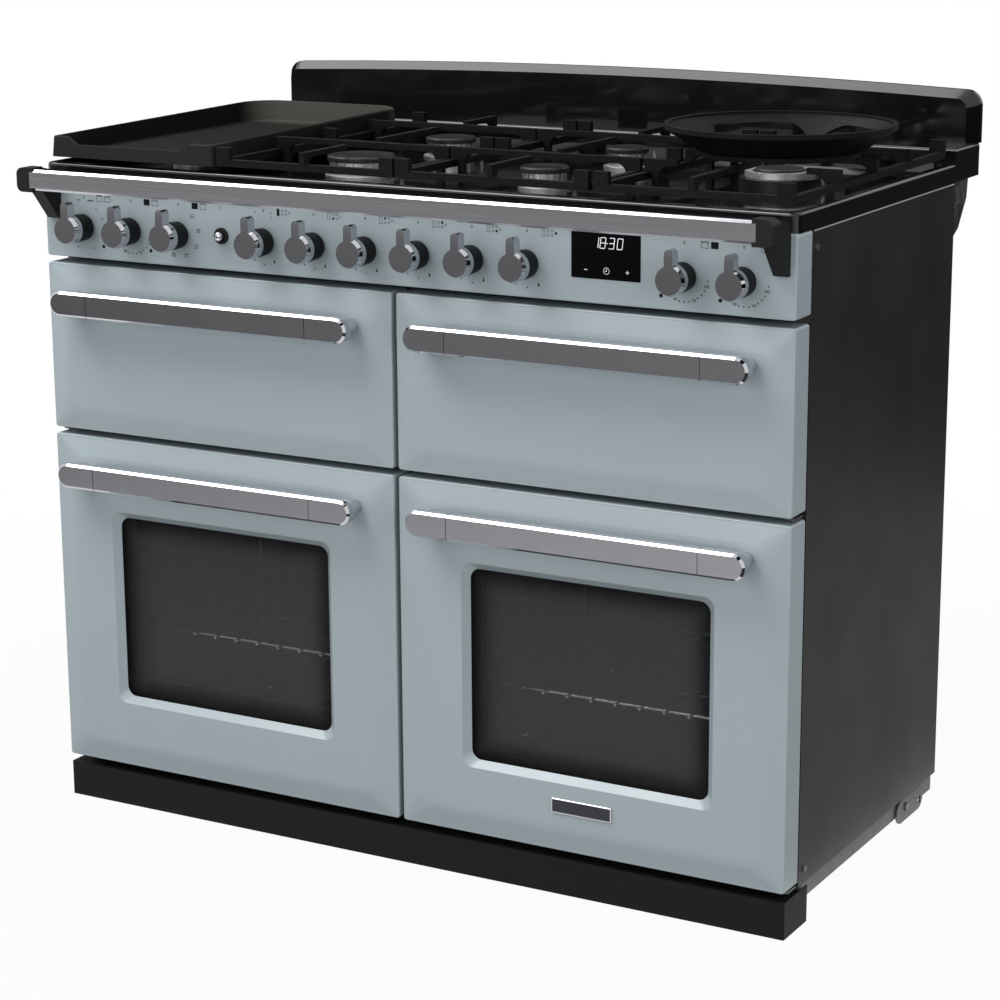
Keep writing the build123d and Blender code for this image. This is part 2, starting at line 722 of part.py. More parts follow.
# Drawer box: open box on two sliders, with the back plate that closes the drawer front
with BuildPart() as drawer_box:
    with BuildSketch(behind(DOOR_DEPTH)):
        area(
            RIGHT_X[0] + SHEET, RIGHT_X[1] - SHEET,
            UPPER_Z[0] + SHEET, UPPER_Z[1] - SHEET, DOOR_EDGE_R - SHEET,
        )
    extrude(amount=SHEET)
    with BuildSketch(Plane.XY.offset(DRAWER_Z[0])):
        area(*DRAWER_X, FACE + DOOR_DEPTH, FACE + DRAWER_DEPTH)
    extrude(amount=DRAWER_Z[1] - DRAWER_Z[0])
    with BuildSketch(Plane.XY.offset(DRAWER_Z[0] + SHEET)):
        area(
            DRAWER_X[0] + SHEET, DRAWER_X[1] - SHEET,
            FACE + DOOR_DEPTH + SHEET, FACE + DRAWER_DEPTH - SHEET,
        )
    extrude(amount=DRAWER_Z[1] - DRAWER_Z[0], mode=Mode.SUBTRACT)
    with BuildSketch(behind(SLIDER_AT)):
        for x in (DRAWER_X[0] - SLIDER_W / 2, DRAWER_X[1] + SLIDER_W / 2):
            with Locations((x, SLIDER_Z)):
                Rectangle(SLIDER_W, SLIDER_H)
    extrude(amount=-(DRAWER_DEPTH - SLIDER_AT))
save(drawer_box, "drawer_box")

# Drawer runners: fixed channels that hold the sliders from above and below
with BuildPart() as drawer_runners:
    with BuildSketch(behind(FRAME_BACK)):
        for side, x in ((-1, DRAWER_X[0]), (1, DRAWER_X[1])):
            web = x + side * (SLIDER_W + DRAWER_ROOM)
            lip = x + side * RUNNER_LIP
            half = SLIDER_H / 2 + RUNNER_GAP
            x_span = (min(web, lip), max(web, lip))
            area(*x_span, SLIDER_Z - half - FRAME_SHEET, SLIDER_Z + half + FRAME_SHEET)
            channel = web - side * FRAME_SHEET
            x_span = (min(channel, lip), max(channel, lip))
            area(*x_span, SLIDER_Z - half, SLIDER_Z + half, mode=Mode.SUBTRACT)
    extrude(amount=-(DRAWER_DEPTH - FRAME_BACK))
save(drawer_runners, "drawer_runners")

# Bar handles: a bevelled bar on two tapered posts, with a groove where each end piece joins
HANDLES = [
    ("grill_door_handle", -DOOR_MID, UPPER_HANDLE_Z),
    ("drawer_handle", DOOR_MID, UPPER_HANDLE_Z),
    ("left_door_handle", -DOOR_MID, LOWER_HANDLE_Z),
    ("right_door_handle", DOOR_MID, LOWER_HANDLE_Z),
]
for name, x, z in HANDLES:
    with BuildPart() as handle:
        with BuildSketch(FRONT.offset(HANDLE_REACH)):
            with Locations((x, z)):
                SlotOverall(HANDLE_W, HANDLE_H)
        extrude(amount=-HANDLE_THICK)
        chamfer(handle.faces().sort_by(Axis.Y)[0].edges(), HANDLE_BEVEL)
        for post_x in (x - HANDLE_W / 2 + HANDLE_H / 2, x + HANDLE_W / 2 - HANDLE_H / 2):
            with BuildSketch(FRONT.offset(HANDLE_REACH - HANDLE_THICK)):
                with Locations((post_x, z)):
                    Circle(POST_TOP_R)
            with BuildSketch(FRONT.offset(DOOR_RAISE)):
                with Locations((post_x, z)):
                    Circle(POST_FOOT_R)
            loft(ruled=True)
        with BuildSketch(FRONT.offset(HANDLE_REACH)):
            with Locations((x - HANDLE_SEAM, z), (x + HANDLE_SEAM, z)):
                Rectangle(HANDLE_SLIT, HANDLE_H)
        extrude(amount=-HANDLE_THICK, mode=Mode.SUBTRACT)
        with BuildSketch(FRONT.offset(HANDLE_REACH - HANDLE_BEVEL)):
            with Locations((x - HANDLE_SEAM, z), (x + HANDLE_SEAM, z)):
                Rectangle(HANDLE_SLIT, HANDLE_H - 2 * HANDLE_BEVEL)
        extrude(amount=-(HANDLE_THICK - 2 * HANDLE_BEVEL))
    save(handle, name)

# Hinges: top and bottom pin plates for the oven doors, and two arms for the grill door
with BuildPart() as door_hinges:
    gap_mid = (LOWER_Z[1] + UPPER_Z[0]) / 2
    top_plate = gap_mid - HINGE_PLATE / 2
    foot_plate = LOWER_Z[0] - HINGE_ROOM - HINGE_PLATE
    for side in (-1, 1):
        inner = side * (OVEN_PIN_X - HINGE_INNER)
        outer = side * (OVEN_PIN_X + HINGE_OUTER)
        for z in (top_plate, foot_plate):
            with BuildSketch(Plane.XY.offset(z)):
                area(
                    min(inner, outer), max(inner, outer),
                    FACE + OVEN_PIN_DEPTH - HINGE_FRONT, FACE + PANEL_FRONT,
                )
            extrude(amount=HINGE_PLATE)
        with BuildSketch(Plane.XY.offset(LOWER_Z[1] - PIN_LENGTH)):
            with Locations((side * OVEN_PIN_X, FACE + OVEN_PIN_DEPTH)):
                Circle(PIN_R)
        extrude(amount=top_plate - LOWER_Z[1] + PIN_LENGTH)
        with BuildSketch(Plane.XY.offset(foot_plate + HINGE_PLATE)):
            with Locations((side * OVEN_PIN_X, FACE + OVEN_PIN_DEPTH)):
                Circle(PIN_R)
        extrude(amount=PIN_LENGTH)
    for x in GRILL_ARMS:
        with BuildSketch(Plane.YZ.offset(x - GRILL_ARM / 2)):
            with Locations((FACE + GRILL_PIN_DEPTH, GRILL_PIN_Z)):
                Circle(GRILL_ARM_HALF)
            area(
                FACE + GRILL_PIN_DEPTH, FACE + PANEL_FRONT,
                GRILL_PIN_Z - GRILL_ARM_HALF, GRILL_PIN_Z + GRILL_ARM_HALF,
            )
        extrude(amount=GRILL_ARM)
        reach = GRILL_ARM / 2 + ARM_ROOM + BUSH_SIDE - PIN_HOLE_ROOM
        with BuildSketch(Plane.YZ.offset(x - reach)):
            with Locations((FACE + GRILL_PIN_DEPTH, GRILL_PIN_Z)):
                Circle(PIN_R)
        extrude(amount=2 * reach)
save(door_hinges, "door_hinges")

# Control panel: folded fascia with the spindle, lamp-switch and clock openings
with BuildPart() as control_panel:
    with BuildSketch(FRONT):
        area(-HALF, HALF, CONTROL_BASE, HOB_BASE, DOOR_EDGE_R)
    extrude(amount=-PANEL_FRONT)
    fillet(control_panel.faces().sort_by(Axis.Y)[0].edges(), DOOR_ROLL)
    with BuildSketch(behind(FRAME_SHEET)):
        area(-HALF + SHEET, HALF - SHEET, CONTROL_BASE + SHEET, HOB_BASE - SHEET)
    extrude(amount=-PANEL_FRONT, mode=Mode.SUBTRACT)
    with BuildSketch(FRONT):
        with Locations([(x, KNOB_Z) for x in KNOBS]):
            Circle(SPINDLE_HOLE_R)
        with Locations((LIGHT_X, LIGHT_Z)):
            Circle(LIGHT_COLLAR_R)
        with Locations((CLOCK_X, CLOCK_Z)):
            RectangleRounded(CLOCK_W, CLOCK_H, CLOCK_R)
    extrude(amount=-FRAME_SHEET, mode=Mode.SUBTRACT)
    with BuildSketch(Plane.XY.offset(CONTROL_BASE)):
        frame_half = HALF - SHEET - FLANGE
        area(-frame_half, frame_half, FACE + PANEL_FRONT, FACE + FRAME_BACK)
    extrude(amount=SHEET)
save(control_panel, "control_panel")

# Clock: glass-faced timer unit let into the fascia
with BuildPart() as clock_display:
    with BuildSketch(FRONT.offset(CLOCK_PROUD)):
        with Locations((CLOCK_X, CLOCK_Z)):
            RectangleRounded(CLOCK_W - 2 * SEAT_GAP, CLOCK_H - 2 * SEAT_GAP, CLOCK_R)
    extrude(amount=-(FRAME_SHEET + CLOCK_PROUD))
    with BuildSketch(behind(FRAME_SHEET)):
        with Locations((CLOCK_X, CLOCK_Z)):
            Rectangle(CLOCK_W + CLOCK_LAP, CLOCK_H + CLOCK_LAP)
    extrude(amount=-CLOCK_DEPTH)
save(clock_display, "clock_display")

# Knobs: keyhole-shaped bright face on a tapered dark skirt, with the spindle it turns on
for number, x in enumerate(KNOBS, 1):
    with BuildPart() as knob:
        with BuildSketch(FRONT.offset(KNOB_REACH)):
            with Locations((x, KNOB_Z)):
                Circle(KNOB_R)
        extrude(amount=-KNOB_FACE_DEPTH)
        face = knob.faces().sort_by(Axis.Y)[0]
        chamfer(face.edges(), KNOB_BEVEL, KNOB_BEVEL_DEPTH, reference=face)
        with BuildSketch(FRONT.offset(KNOB_REACH)):
            area(x - TAB_W / 2, x + TAB_W / 2, KNOB_Z, KNOB_Z + TAB_TOP - TAB_W / 2)
            with Locations((x, KNOB_Z + TAB_TOP - TAB_W / 2)):
                Circle(TAB_W / 2)
        extrude(amount=-KNOB_FACE_DEPTH)
        with BuildSketch(FRONT.offset(KNOB_REACH - KNOB_FACE_DEPTH)):
            with Locations((x, KNOB_Z)):
                Circle(KNOB_R)
        with BuildSketch(FRONT.offset(KNOB_GAP)):
            with Locations((x, KNOB_Z)):
                Circle(KNOB_FOOT_R)
        loft(ruled=True)
        with BuildSketch(FRONT.offset(KNOB_GAP)):
            with Locations((x, KNOB_Z)):
                Circle(SPINDLE_R)
        extrude(amount=-(KNOB_GAP + SPINDLE_IN))
    save(knob, f"knob_{number:02d}")

# Gas rail: supply pipe with a tap body for each hob burner and an inlet at the rear
with BuildPart() as gas_rail:
    with BuildSketch(behind(FRAME_SHEET)):
        with Locations([(x, KNOB_Z) for x in GAS_KNOBS]):
            RectangleRounded(VALVE_W, VALVE_W, VALVE_R)
    extrude(amount=-(VALVE_BACK - FRAME_SHEET))
    with BuildSketch(Plane.YZ.offset(GAS_KNOBS[0] - PIPE_END)):
        with Locations((FACE + PIPE_DEPTH, PIPE_Z)):
            Circle(PIPE_R)
    extrude(amount=GAS_KNOBS[-1] - GAS_KNOBS[0] + 2 * PIPE_END)
    with BuildSketch(behind(PIPE_DEPTH)):
        with Locations((0, PIPE_Z)):
            Circle(PIPE_R)
    extrude(amount=-(PANEL_REAR + INLET_AT - PIPE_DEPTH))
    with BuildSketch(behind(PANEL_REAR + INLET_AT)):
        with Locations((0, PIPE_Z)):
            Circle(INLET_R)
    extrude(amount=-INLET_L)
    with BuildSketch(behind(FRAME_SHEET)):
        with Locations([(x, KNOB_Z) for x in GAS_KNOBS]):
            Circle(SPINDLE_R + RUNNING_GAP)
    extrude(amount=-SPINDLE_IN, mode=Mode.SUBTRACT)
save(gas_rail, "gas_rail")

# Oven switches: rotary switch bodies behind the electric knobs, and the lamp's push switch
with BuildPart() as oven_switches:
    with BuildSketch(behind(FRAME_SHEET)):
        with Locations([(x, KNOB_Z) for x in LEFT_KNOBS + RIGHT_KNOBS]):
            RectangleRounded(SWITCH_W, SWITCH_W, SWITCH_R)
        with Locations((LIGHT_X, LIGHT_Z)):
            RectangleRounded(LIGHT_SWITCH_W, LIGHT_SWITCH_W, SWITCH_R)
    extrude(amount=-(SWITCH_BACK - FRAME_SHEET))
    with BuildSketch(behind(FRAME_SHEET)):
        with Locations([(x, KNOB_Z) for x in LEFT_KNOBS + RIGHT_KNOBS]):
            Circle(SPINDLE_R + RUNNING_GAP)
    extrude(amount=-SPINDLE_IN, mode=Mode.SUBTRACT)
    with BuildSketch(behind(FRAME_SHEET)):
        with Locations((LIGHT_X, LIGHT_Z)):
            Circle(LIGHT_COLLAR_R - SEAT_GAP)
    extrude(amount=FRAME_SHEET)
    with BuildSketch(FRONT):
        with Locations((LIGHT_X, LIGHT_Z)):
            Circle(LIGHT_BEZEL_R)
    extrude(amount=LIGHT_BEZEL_H)
    with BuildSketch(FRONT.offset(LIGHT_BEZEL_H)):
        with Locations((LIGHT_X, LIGHT_Z)):
            Circle(LIGHT_WELL_R)
    extrude(amount=-(LIGHT_BEZEL_H + LIGHT_WELL), mode=Mode.SUBTRACT)
    with BuildSketch(behind(LIGHT_WELL)):
        with Locations((LIGHT_X, LIGHT_Z)):
            Circle(LIGHT_STEM_R + RUNNING_GAP)
    extrude(amount=LIGHT_WELL - LIGHT_BORE_END, mode=Mode.SUBTRACT)
save(oven_switches, "oven_switches")

# Lamp button: domed push button on a guided stem
with BuildPart() as light_button:
    with BuildSketch(FRONT.offset(LIGHT_REACH)):
        with Locations((LIGHT_X, LIGHT_Z)):
            Circle(LIGHT_R)
    extrude(amount=-(LIGHT_REACH + LIGHT_BODY))
    fillet(light_button.faces().sort_by(Axis.Y)[0].edges(), LIGHT_DOME_R)
    with BuildSketch(behind(LIGHT_BODY)):
        with Locations((LIGHT_X, LIGHT_Z)):
            Circle(LIGHT_STEM_R)
    extrude(amount=LIGHT_BODY - LIGHT_STEM_END)
save(light_button, "light_button")

# Towel rail: bevelled steel bar that runs into a socket in each end bracket
with BuildPart() as handrail:
    with BuildSketch(Plane.YZ.offset(-RAIL_HALF - RAIL_SOCKET)):
        area(FACE - RAIL_REACH, FACE - RAIL_REACH + RAIL_THICK, *RAIL_Z)
        chamfer(vertices(), RAIL_BEVEL)
    extrude(amount=2 * (RAIL_HALF + RAIL_SOCKET))
save(handrail, "handrail")

# Rail brackets: moulded end caps on sloping arms that stand on the fascia
with BuildPart() as handrail_brackets:
    for side in (-1, 1):
        inner, outer = side * RAIL_HALF, side * CAP_END
        with BuildSketch(FRONT.offset(RAIL_REACH)):
            area(min(inner, outer), max(inner, outer), *CAP_Z)
            ends = vertices().sort_by(Axis.X)
            fillet(ends[:2] if side < 0 else ends[-2:], CAP_R)
        extrude(amount=-(RAIL_REACH - CAP_BACK))
        arm_x = min(side * ARM_X[0], side * ARM_X[1])
        with BuildSketch(Plane.YZ.offset(arm_x)):
            with BuildLine():
                Polyline(
                    (FACE, ARM_TIP_Z),
                    (FACE, HOB_BASE - ARM_LAP),
                    (FACE - ARM_TOP_REACH, HOB_BASE + ARM_TOP),
                    (FACE - CAP_BACK, CAP_Z[1] - ARM_LAP),
                    (FACE - CAP_BACK, CAP_Z[0]),
                    (FACE - CAP_BACK + ARM_CUT, CAP_Z[0] - ARM_CUT),
                    (FACE - ARM_TIP, ARM_TIP_Z),
                    close=True,
                )
            make_face()
        extrude(amount=ARM_X[1] - ARM_X[0])
        socket = side * (RAIL_HALF + RAIL_SOCKET)
        with BuildSketch(Plane.YZ.offset(min(inner, socket))):
            area(FACE - RAIL_REACH, FACE - RAIL_REACH + RAIL_THICK, *RAIL_Z)
            chamfer(vertices(), RAIL_BEVEL)
        extrude(amount=RAIL_SOCKET, mode=Mode.SUBTRACT)
save(handrail_brackets, "handrail_brackets")

# Hob tray: enamelled pressing with a rolled rim, a spill well and a rear upstand
with BuildPart() as hob_tray:
    with BuildSketch(Plane.XY.offset(HOB_BASE)):
        area(-HALF, HALF, FACE + HOB_FRONT, FACE + HOB_REAR)
        fillet(vertices().sort_by(Axis.Y)[:2], HOB_CORNER_R)
    extrude(amount=HOB_SKIRT)
    with BuildSketch(Plane.XY.offset(HOB_TOP)):
        area(-HALF, HALF, FACE + UPSTAND_AT, FACE + HOB_REAR)
    extrude(amount=UPSTAND_TOP - HOB_TOP)
    rim = hob_tray.faces().filter_by(Axis.Z).group_by(Axis.Z)[-2].edges()
    fillet(rim.sort_by(Axis.Y)[:-1], HOB_EDGE_R)
    top = hob_tray.faces().filter_by(Axis.Z).sort_by(Axis.Z)[-1].edges()
    fillet(top.sort_by(Axis.Y)[:-1], HOB_EDGE_R)
    with BuildSketch(Plane.XY.offset(HOB_TOP)):
        area(-WELL_HALF, WELL_HALF, FACE + WELL_Y[0], FACE + WELL_Y[1], WELL_R)
    extrude(amount=-WELL_DEPTH, taper=WELL_DRAFT, mode=Mode.SUBTRACT)
    with BuildSketch(Plane.XY.offset(HOB_BASE)):
        area(
            -HALF + HOB_SHEET, HALF - HOB_SHEET,
            FACE + HOB_FRONT + HOB_SHEET, FACE + HOB_REAR - HOB_SHEET, HOB_CORNER_R,
        )
    extrude(amount=WELL_FLOOR - HOB_SHEET - HOB_BASE, mode=Mode.SUBTRACT)
    with BuildSketch(Plane.XY.offset(HOB_BASE)):
        area(
            -HALF + HOB_SHEET, HALF - HOB_SHEET,
            FACE + UPSTAND_AT + HOB_SHEET, FACE + HOB_REAR - HOB_SHEET,
        )
    extrude(amount=UPSTAND_TOP - HOB_EDGE_R - HOB_BASE, mode=Mode.SUBTRACT)
    with BuildSketch(Plane.XY.offset(WELL_FLOOR)):
        for x, depth, radius in BURNERS:
            with Locations((x, FACE + depth)):
                Circle(radius - BURNER_THROAT)
        with Locations((GRIDDLE_BURNER_X, FACE + HOB_MID)):
            lap = 2 * GRIDDLE_BURNER_LAP
            SlotOverall(GRIDDLE_BURNER_L - lap, GRIDDLE_BURNER_W - lap, rotation=90)
    extrude(amount=-HOB_SHEET, mode=Mode.SUBTRACT)
save(hob_tray, "hob_tray")

# Splashback: bevelled upstand panel with round shoulders and a slight arch, open at the back
with BuildPart() as splashback:
    for depth, half, top, radius in (
        (SPLASH_FACE, SPLASH_FACE_HALF, SPLASH_FACE_TOP, SPLASH_FACE_R),
        (SPLASH_FACE + SPLASH_BEVEL, SPLASH_BACK_HALF, SPLASH_BACK_TOP, SPLASH_R),
    ):
        with BuildSketch(behind(depth)):
            with BuildLine():
                ThreePointArc((-half, top), (0, top + SPLASH_ARCH), (half, top))
                Polyline((half, top), (half, UPSTAND_TOP), (-half, UPSTAND_TOP), (-half, top))
            make_face()
            fillet(vertices().sort_by(Axis.Y)[-2:], radius)
    loft(ruled=True)
    back = splashback.faces().sort_by(Axis.Y)[-1]
    extrude(back, amount=FACE_TO_REAR - SPLASH_FACE - SPLASH_BEVEL)
    with BuildSketch(behind(SPLASH_FACE + SHEET)):
        area(
            -SPLASH_FACE_HALF + SPLASH_WALL, SPLASH_FACE_HALF - SPLASH_WALL,
            UPSTAND_TOP + SPLASH_WALL, SPLASH_FACE_TOP - SPLASH_WALL, SPLASH_FACE_R,
        )
    extrude(amount=-(FACE_TO_REAR - SPLASH_FACE), mode=Mode.SUBTRACT)
save(splashback, "splashback")

# Burners: alloy bodies seated on the well floor, with the long burner under the griddle
with BuildPart() as burner_bodies:
    for x, depth, radius in BURNERS:
        throat = radius - BURNER_THROAT - SEAT_GAP
        skirt = WOK_SKIRT_R if x == WOK_X else radius + BURNER_SKIRT
        with BuildSketch(Plane.XY.offset(BURNER_SUMP)):
            with Locations((x, FACE + depth)):
                Circle(throat)
        extrude(amount=WELL_FLOOR - BURNER_SUMP)
        with BuildSketch(Plane.XY.offset(WELL_FLOOR)):
            with Locations((x, FACE + depth)):
                Circle(skirt)
        extrude(amount=BURNER_SHELF - WELL_FLOOR)
        with BuildSketch(Plane.XY.offset(BURNER_SHELF)):
            with Locations((x, FACE + depth)):
                Circle(radius - BURNER_NECK)
        extrude(amount=BURNER_HEAD - BURNER_SHELF)
        with BuildSketch(Plane.XY.offset(BURNER_SHELF + PORT_SILL)):
            with Locations((x, FACE + depth)):
                with PolarLocations(radius - BURNER_NECK, PORTS):
                    Rectangle(PORT_L, PORT_W)
        extrude(amount=BURNER_HEAD - BURNER_SHELF - PORT_SILL, mode=Mode.SUBTRACT)
    for radius, top in ((WOK_SKIRT_R, WOK_SKIRT_TOP), (WOK_CROWN_R[1], WOK_CROWN_TOP)):
        with BuildSketch(Plane.XY.offset(BURNER_SHELF)):
            with Locations((WOK_X, FACE + HOB_MID)):
                Circle(radius)
                Circle(WOK_CROWN_R[0], mode=Mode.SUBTRACT)
        extrude(amount=top - BURNER_SHELF)
    with BuildSketch(Plane.XY.offset(BURNER_SUMP)):
        with Locations((GRIDDLE_BURNER_X, FACE + HOB_MID)):
            lap = 2 * (GRIDDLE_BURNER_LAP + SEAT_GAP)
            SlotOverall(GRIDDLE_BURNER_L - lap, GRIDDLE_BURNER_W - lap, rotation=90)
    extrude(amount=WELL_FLOOR - BURNER_SUMP)
    with BuildSketch(Plane.XY.offset(WELL_FLOOR)):
        with Locations((GRIDDLE_BURNER_X, FACE + HOB_MID)):
            SlotOverall(GRIDDLE_BURNER_L, GRIDDLE_BURNER_W, rotation=90)
    extrude(amount=BURNER_SHELF + PORT_SILL - WELL_FLOOR)
save(burner_bodies, "burner_bodies")

# Burner caps: loose enamelled lids on the burner heads
with BuildPart() as burner_caps:
    for x, depth, radius in BURNERS:
        with BuildSketch(Plane.XY.offset(BURNER_HEAD)):
            with Locations((x, FACE + depth)):
                Circle(radius)
        extrude(amount=CAP_TOP - BURNER_HEAD)
    with BuildSketch(Plane.XY.offset(BURNER_SHELF + PORT_SILL)):
        with Locations((GRIDDLE_BURNER_X, FACE + HOB_MID)):
            lap = 2 * GRIDDLE_CAP_LAP
            SlotOverall(GRIDDLE_BURNER_L + lap, GRIDDLE_BURNER_W + lap, rotation=90)
    extrude(amount=GRIDDLE_CAP_H)
    fillet(burner_caps.faces().filter_by(Axis.Z).group_by(Axis.Z)[-1].edges(), CAP_EDGE_R)
save(burner_caps, "burner_caps")

# Pan supports: cast frames with upright blocks, bars across the burners and legs in the well
def arched_bar(edge, way, root, tip):
    """Side outline of a bar that springs from the frame in a quarter arch and runs level to its tip."""
    base = SUPPORT_Z[0]
    heel = edge + way * root
    with BuildLine() as outline:
        Polyline((tip, FINGER_BASE), (tip, FINGER_TOP), (edge, FINGER_TOP), (edge, base), (heel, base))
        ThreePointArc(
            (heel, base),
            (heel + way * FINGER_HEEL * (1 - ARCH_BEND), base + (FINGER_BASE - base) * ARCH_BEND),
            (heel + way * FINGER_HEEL, FINGER_BASE),
        )
        Line((heel + way * FINGER_HEEL, FINGER_BASE), (tip, FINGER_BASE))
    make_face(outline.edges())


with BuildPart() as pan_supports:
    for x0, x1 in SUPPORT_X:
        y0, y1 = FACE + SUPPORT_Y[0], FACE + SUPPORT_Y[1]
        middle = FACE + HOB_MID
        bar, top, base = SUPPORT_BAR, FINGER_TOP, SUPPORT_Z[0]
        spots = [(bx, FACE + depth) for bx, depth, radius in BURNERS if x0 < bx < x1]
        wok = WOK_X in (bx for bx, by in spots)
        with BuildSketch(Plane.XY.offset(base)):
            area(x0, x1, y0, y0 + bar)
            area(x0, x1, y1 - bar, y1)
            area(x0, x0 + bar, y0, y1)
            area(x1 - bar, x1, y0, y1)
            if not wok:
                area(x0, x1, middle - bar / 2, middle + bar / 2)
        extrude(amount=SUPPORT_Z[1] - base)
        with BuildSketch(Plane.XY.offset(base)):
            for y in (y0, y1 - bar) if wok else (y0, middle - bar / 2, y1 - bar):
                area(x0, x0 + BLOCK_L, y, y + bar)
                area(x1 - BLOCK_L, x1, y, y + bar)
        extrude(amount=top - base)
        for row in (BURNER_FRONT, BURNER_REAR):
            reach = WOK_STUB if wok else (x1 - x0) / 2
            for edge, way in ((x0, 1), (x1, -1)):
                with BuildSketch(Plane.XZ.offset(-FACE - row - FINGER_W / 2)):
                    arched_bar(edge, way, LEG_AT[1], edge + way * reach)
                    leg_x = sorted((edge + way * LEG_AT[0], edge + way * LEG_AT[1]))
                    area(*leg_x, WELL_FLOOR, FINGER_BASE)
                extrude(amount=FINGER_W)
        clear = WOK_FINGER_CLEAR if wok else FINGER_CLEAR
        for bx, by in spots:
            ends = (y0, y1) if wok else sorted((y0 if by < middle else y1, middle))
            for edge, way in zip(ends, (1, -1)):
                with BuildSketch(Plane.YZ.offset(bx - FINGER_W / 2)):
                    arched_bar(edge, way, bar, by - way * clear)
                extrude(amount=FINGER_W)
            for edge, way in ((x0, 1), (x1, -1)) if wok else ():
                with BuildSketch(Plane.XZ.offset(-by - FINGER_W / 2)):
                    arched_bar(edge, way, bar, bx - way * clear)
                extrude(amount=FINGER_W)
save(pan_supports, "pan_supports")

# Wok ring: flared cast collar on four legs that stand on the fingers of the right pan support
with BuildPart() as wok_ring:
    with BuildSketch(Plane.XZ.offset(-FACE - HOB_MID)):
        with BuildLine():
            Polyline(
                (WOK_X + WOK_FOOT_R, FINGER_TOP),
                (WOK_X + WOK_FOOT_R, FINGER_TOP + WOK_RIM),
                (WOK_X + WOK_R, WOK_TOP - WOK_RIM),
                (WOK_X + WOK_R, WOK_TOP),
                (WOK_X + WOK_R - WOK_RIM, WOK_TOP),
                (WOK_X + WOK_R - WOK_RIM, WOK_TOP - WOK_RIM / 2),
                (WOK_X + WOK_FOOT_R - WOK_WALL, FINGER_TOP + WOK_RIM),
                (WOK_X + WOK_FOOT_R - WOK_WALL, FINGER_TOP),
                close=True,
            )
        make_face()
    revolve(axis=Axis((WOK_X, FACE + HOB_MID, 0), (0, 0, 1)))
    for turn in range(4):
        way = Plane(
            origin=(WOK_X, FACE + HOB_MID, 0),
            x_dir=Vector(0, 1, 0).rotate(Axis.Z, 45 + 90 * turn),
            z_dir=Vector(1, 0, 0).rotate(Axis.Z, 45 + 90 * turn),
        )
        with BuildSketch(way):
            sill = FINGER_TOP - WOK_RIM
            area(-WOK_WINDOW_W / 2, WOK_WINDOW_W / 2, sill, WOK_TOP - WOK_BAND, WOK_WINDOW_R)
        extrude(amount=WOK_R + WOK_RIM, mode=Mode.SUBTRACT)
save(wok_ring, "wok_ring")

# Griddle: cast tray, deeper at the rear, with a scooped front lip and four feet in the well
with BuildPart() as griddle:
    x0, x1 = GRIDDLE_X
    y0, y1 = FACE + GRIDDLE_Y[0], FACE + GRIDDLE_Y[1]
    wall = GRIDDLE_WALL
    tall = GRIDDLE_Z[1] - GRIDDLE_Z[0]
    with BuildSketch(Plane.XY.offset(GRIDDLE_Z[0])):
        area(x0, x1, y0, y1)
        fillet(vertices().sort_by(Axis.Y)[:2], GRIDDLE_FRONT_R)
        fillet(vertices().sort_by(Axis.Y)[-2:], GRIDDLE_REAR_R)
    extrude(amount=tall, taper=GRIDDLE_DRAFT)
    with BuildSketch(Plane.YZ.offset(x0)):
        with BuildLine():
            Polyline((y0, GRIDDLE_FRONT_TOP), (y1, GRIDDLE_Z[1]), (y0, GRIDDLE_Z[1]), close=True)
        make_face()
    extrude(amount=x1 - x0, mode=Mode.SUBTRACT)
    fillet(griddle.faces().sort_by(Axis.Z)[-1].edges(), GRIDDLE_EDGE_R)
    with BuildSketch(Plane.XY.offset(GRIDDLE_Z[0] + GRIDDLE_FLOOR)):
        area(x0 + wall, x1 - wall, y0 + wall, y1 - wall)
        fillet(vertices().sort_by(Axis.Y)[:2], GRIDDLE_FRONT_R)
        fillet(vertices().sort_by(Axis.Y)[-2:], GRIDDLE_REAR_R - wall)
    extrude(amount=tall, mode=Mode.SUBTRACT)
    with BuildSketch(Plane.XZ.offset(-y0)):
        with BuildLine():
            Polyline(
                (GRIDDLE_SCOOP[0], GRIDDLE_Z[1]),
                (GRIDDLE_SCOOP[0], GRIDDLE_FRONT_TOP),
                (GRIDDLE_SCOOP[0] + GRIDDLE_LIP_RUN, GRIDDLE_LIP),
                (GRIDDLE_SCOOP[1] - GRIDDLE_LIP_RUN, GRIDDLE_LIP),
                (GRIDDLE_SCOOP[1], GRIDDLE_FRONT_TOP),
                (GRIDDLE_SCOOP[1], GRIDDLE_Z[1]),
                close=True,
            )
        make_face()
    extrude(amount=-GRIDDLE_LIP_DEPTH, mode=Mode.SUBTRACT)
    middle = ((x0 + x1) / 2, FACE + HOB_MID)
    with BuildSketch(Plane.XY.offset(WELL_FLOOR)):
        for dx in (-GRIDDLE_FOOT_X, GRIDDLE_FOOT_X):
            for dy in (-GRIDDLE_FOOT_Y, GRIDDLE_FOOT_Y):
                with Locations((middle[0] + dx, middle[1] + dy)):
                    Circle(GRIDDLE_FOOT_R)
    extrude(amount=GRIDDLE_Z[0] - WELL_FLOOR)
save(griddle, "griddle")

# Shelf racks: welded wire ladders on the oven side walls
with BuildPart() as shelf_side_racks:
    for side in (-1, 1):
        for wall, inward in ((OVEN_X[0], 1), (OVEN_X[1], -1)):
            post_x = side * (wall + inward * (WIRE_R + SEAT_GAP))
            rail_x = side * (wall + inward * (3 * WIRE_R + SEAT_GAP - WELD))
            for y in RACK_POST_Y:
                with BuildSketch(Plane.XY.offset(RACK_Z[0])):
                    with Locations((post_x, FACE + y)):
                        Circle(WIRE_R)
                extrude(amount=RACK_Z[1] - RACK_Z[0])
            for z in SHELF_LEVELS:
                with BuildSketch(behind(SHELF_Y[0])):
                    with Locations((rail_x, z)):
                        Circle(WIRE_R)
                extrude(amount=-(SHELF_Y[1] - SHELF_Y[0]))
save(shelf_side_racks, "shelf_side_racks")

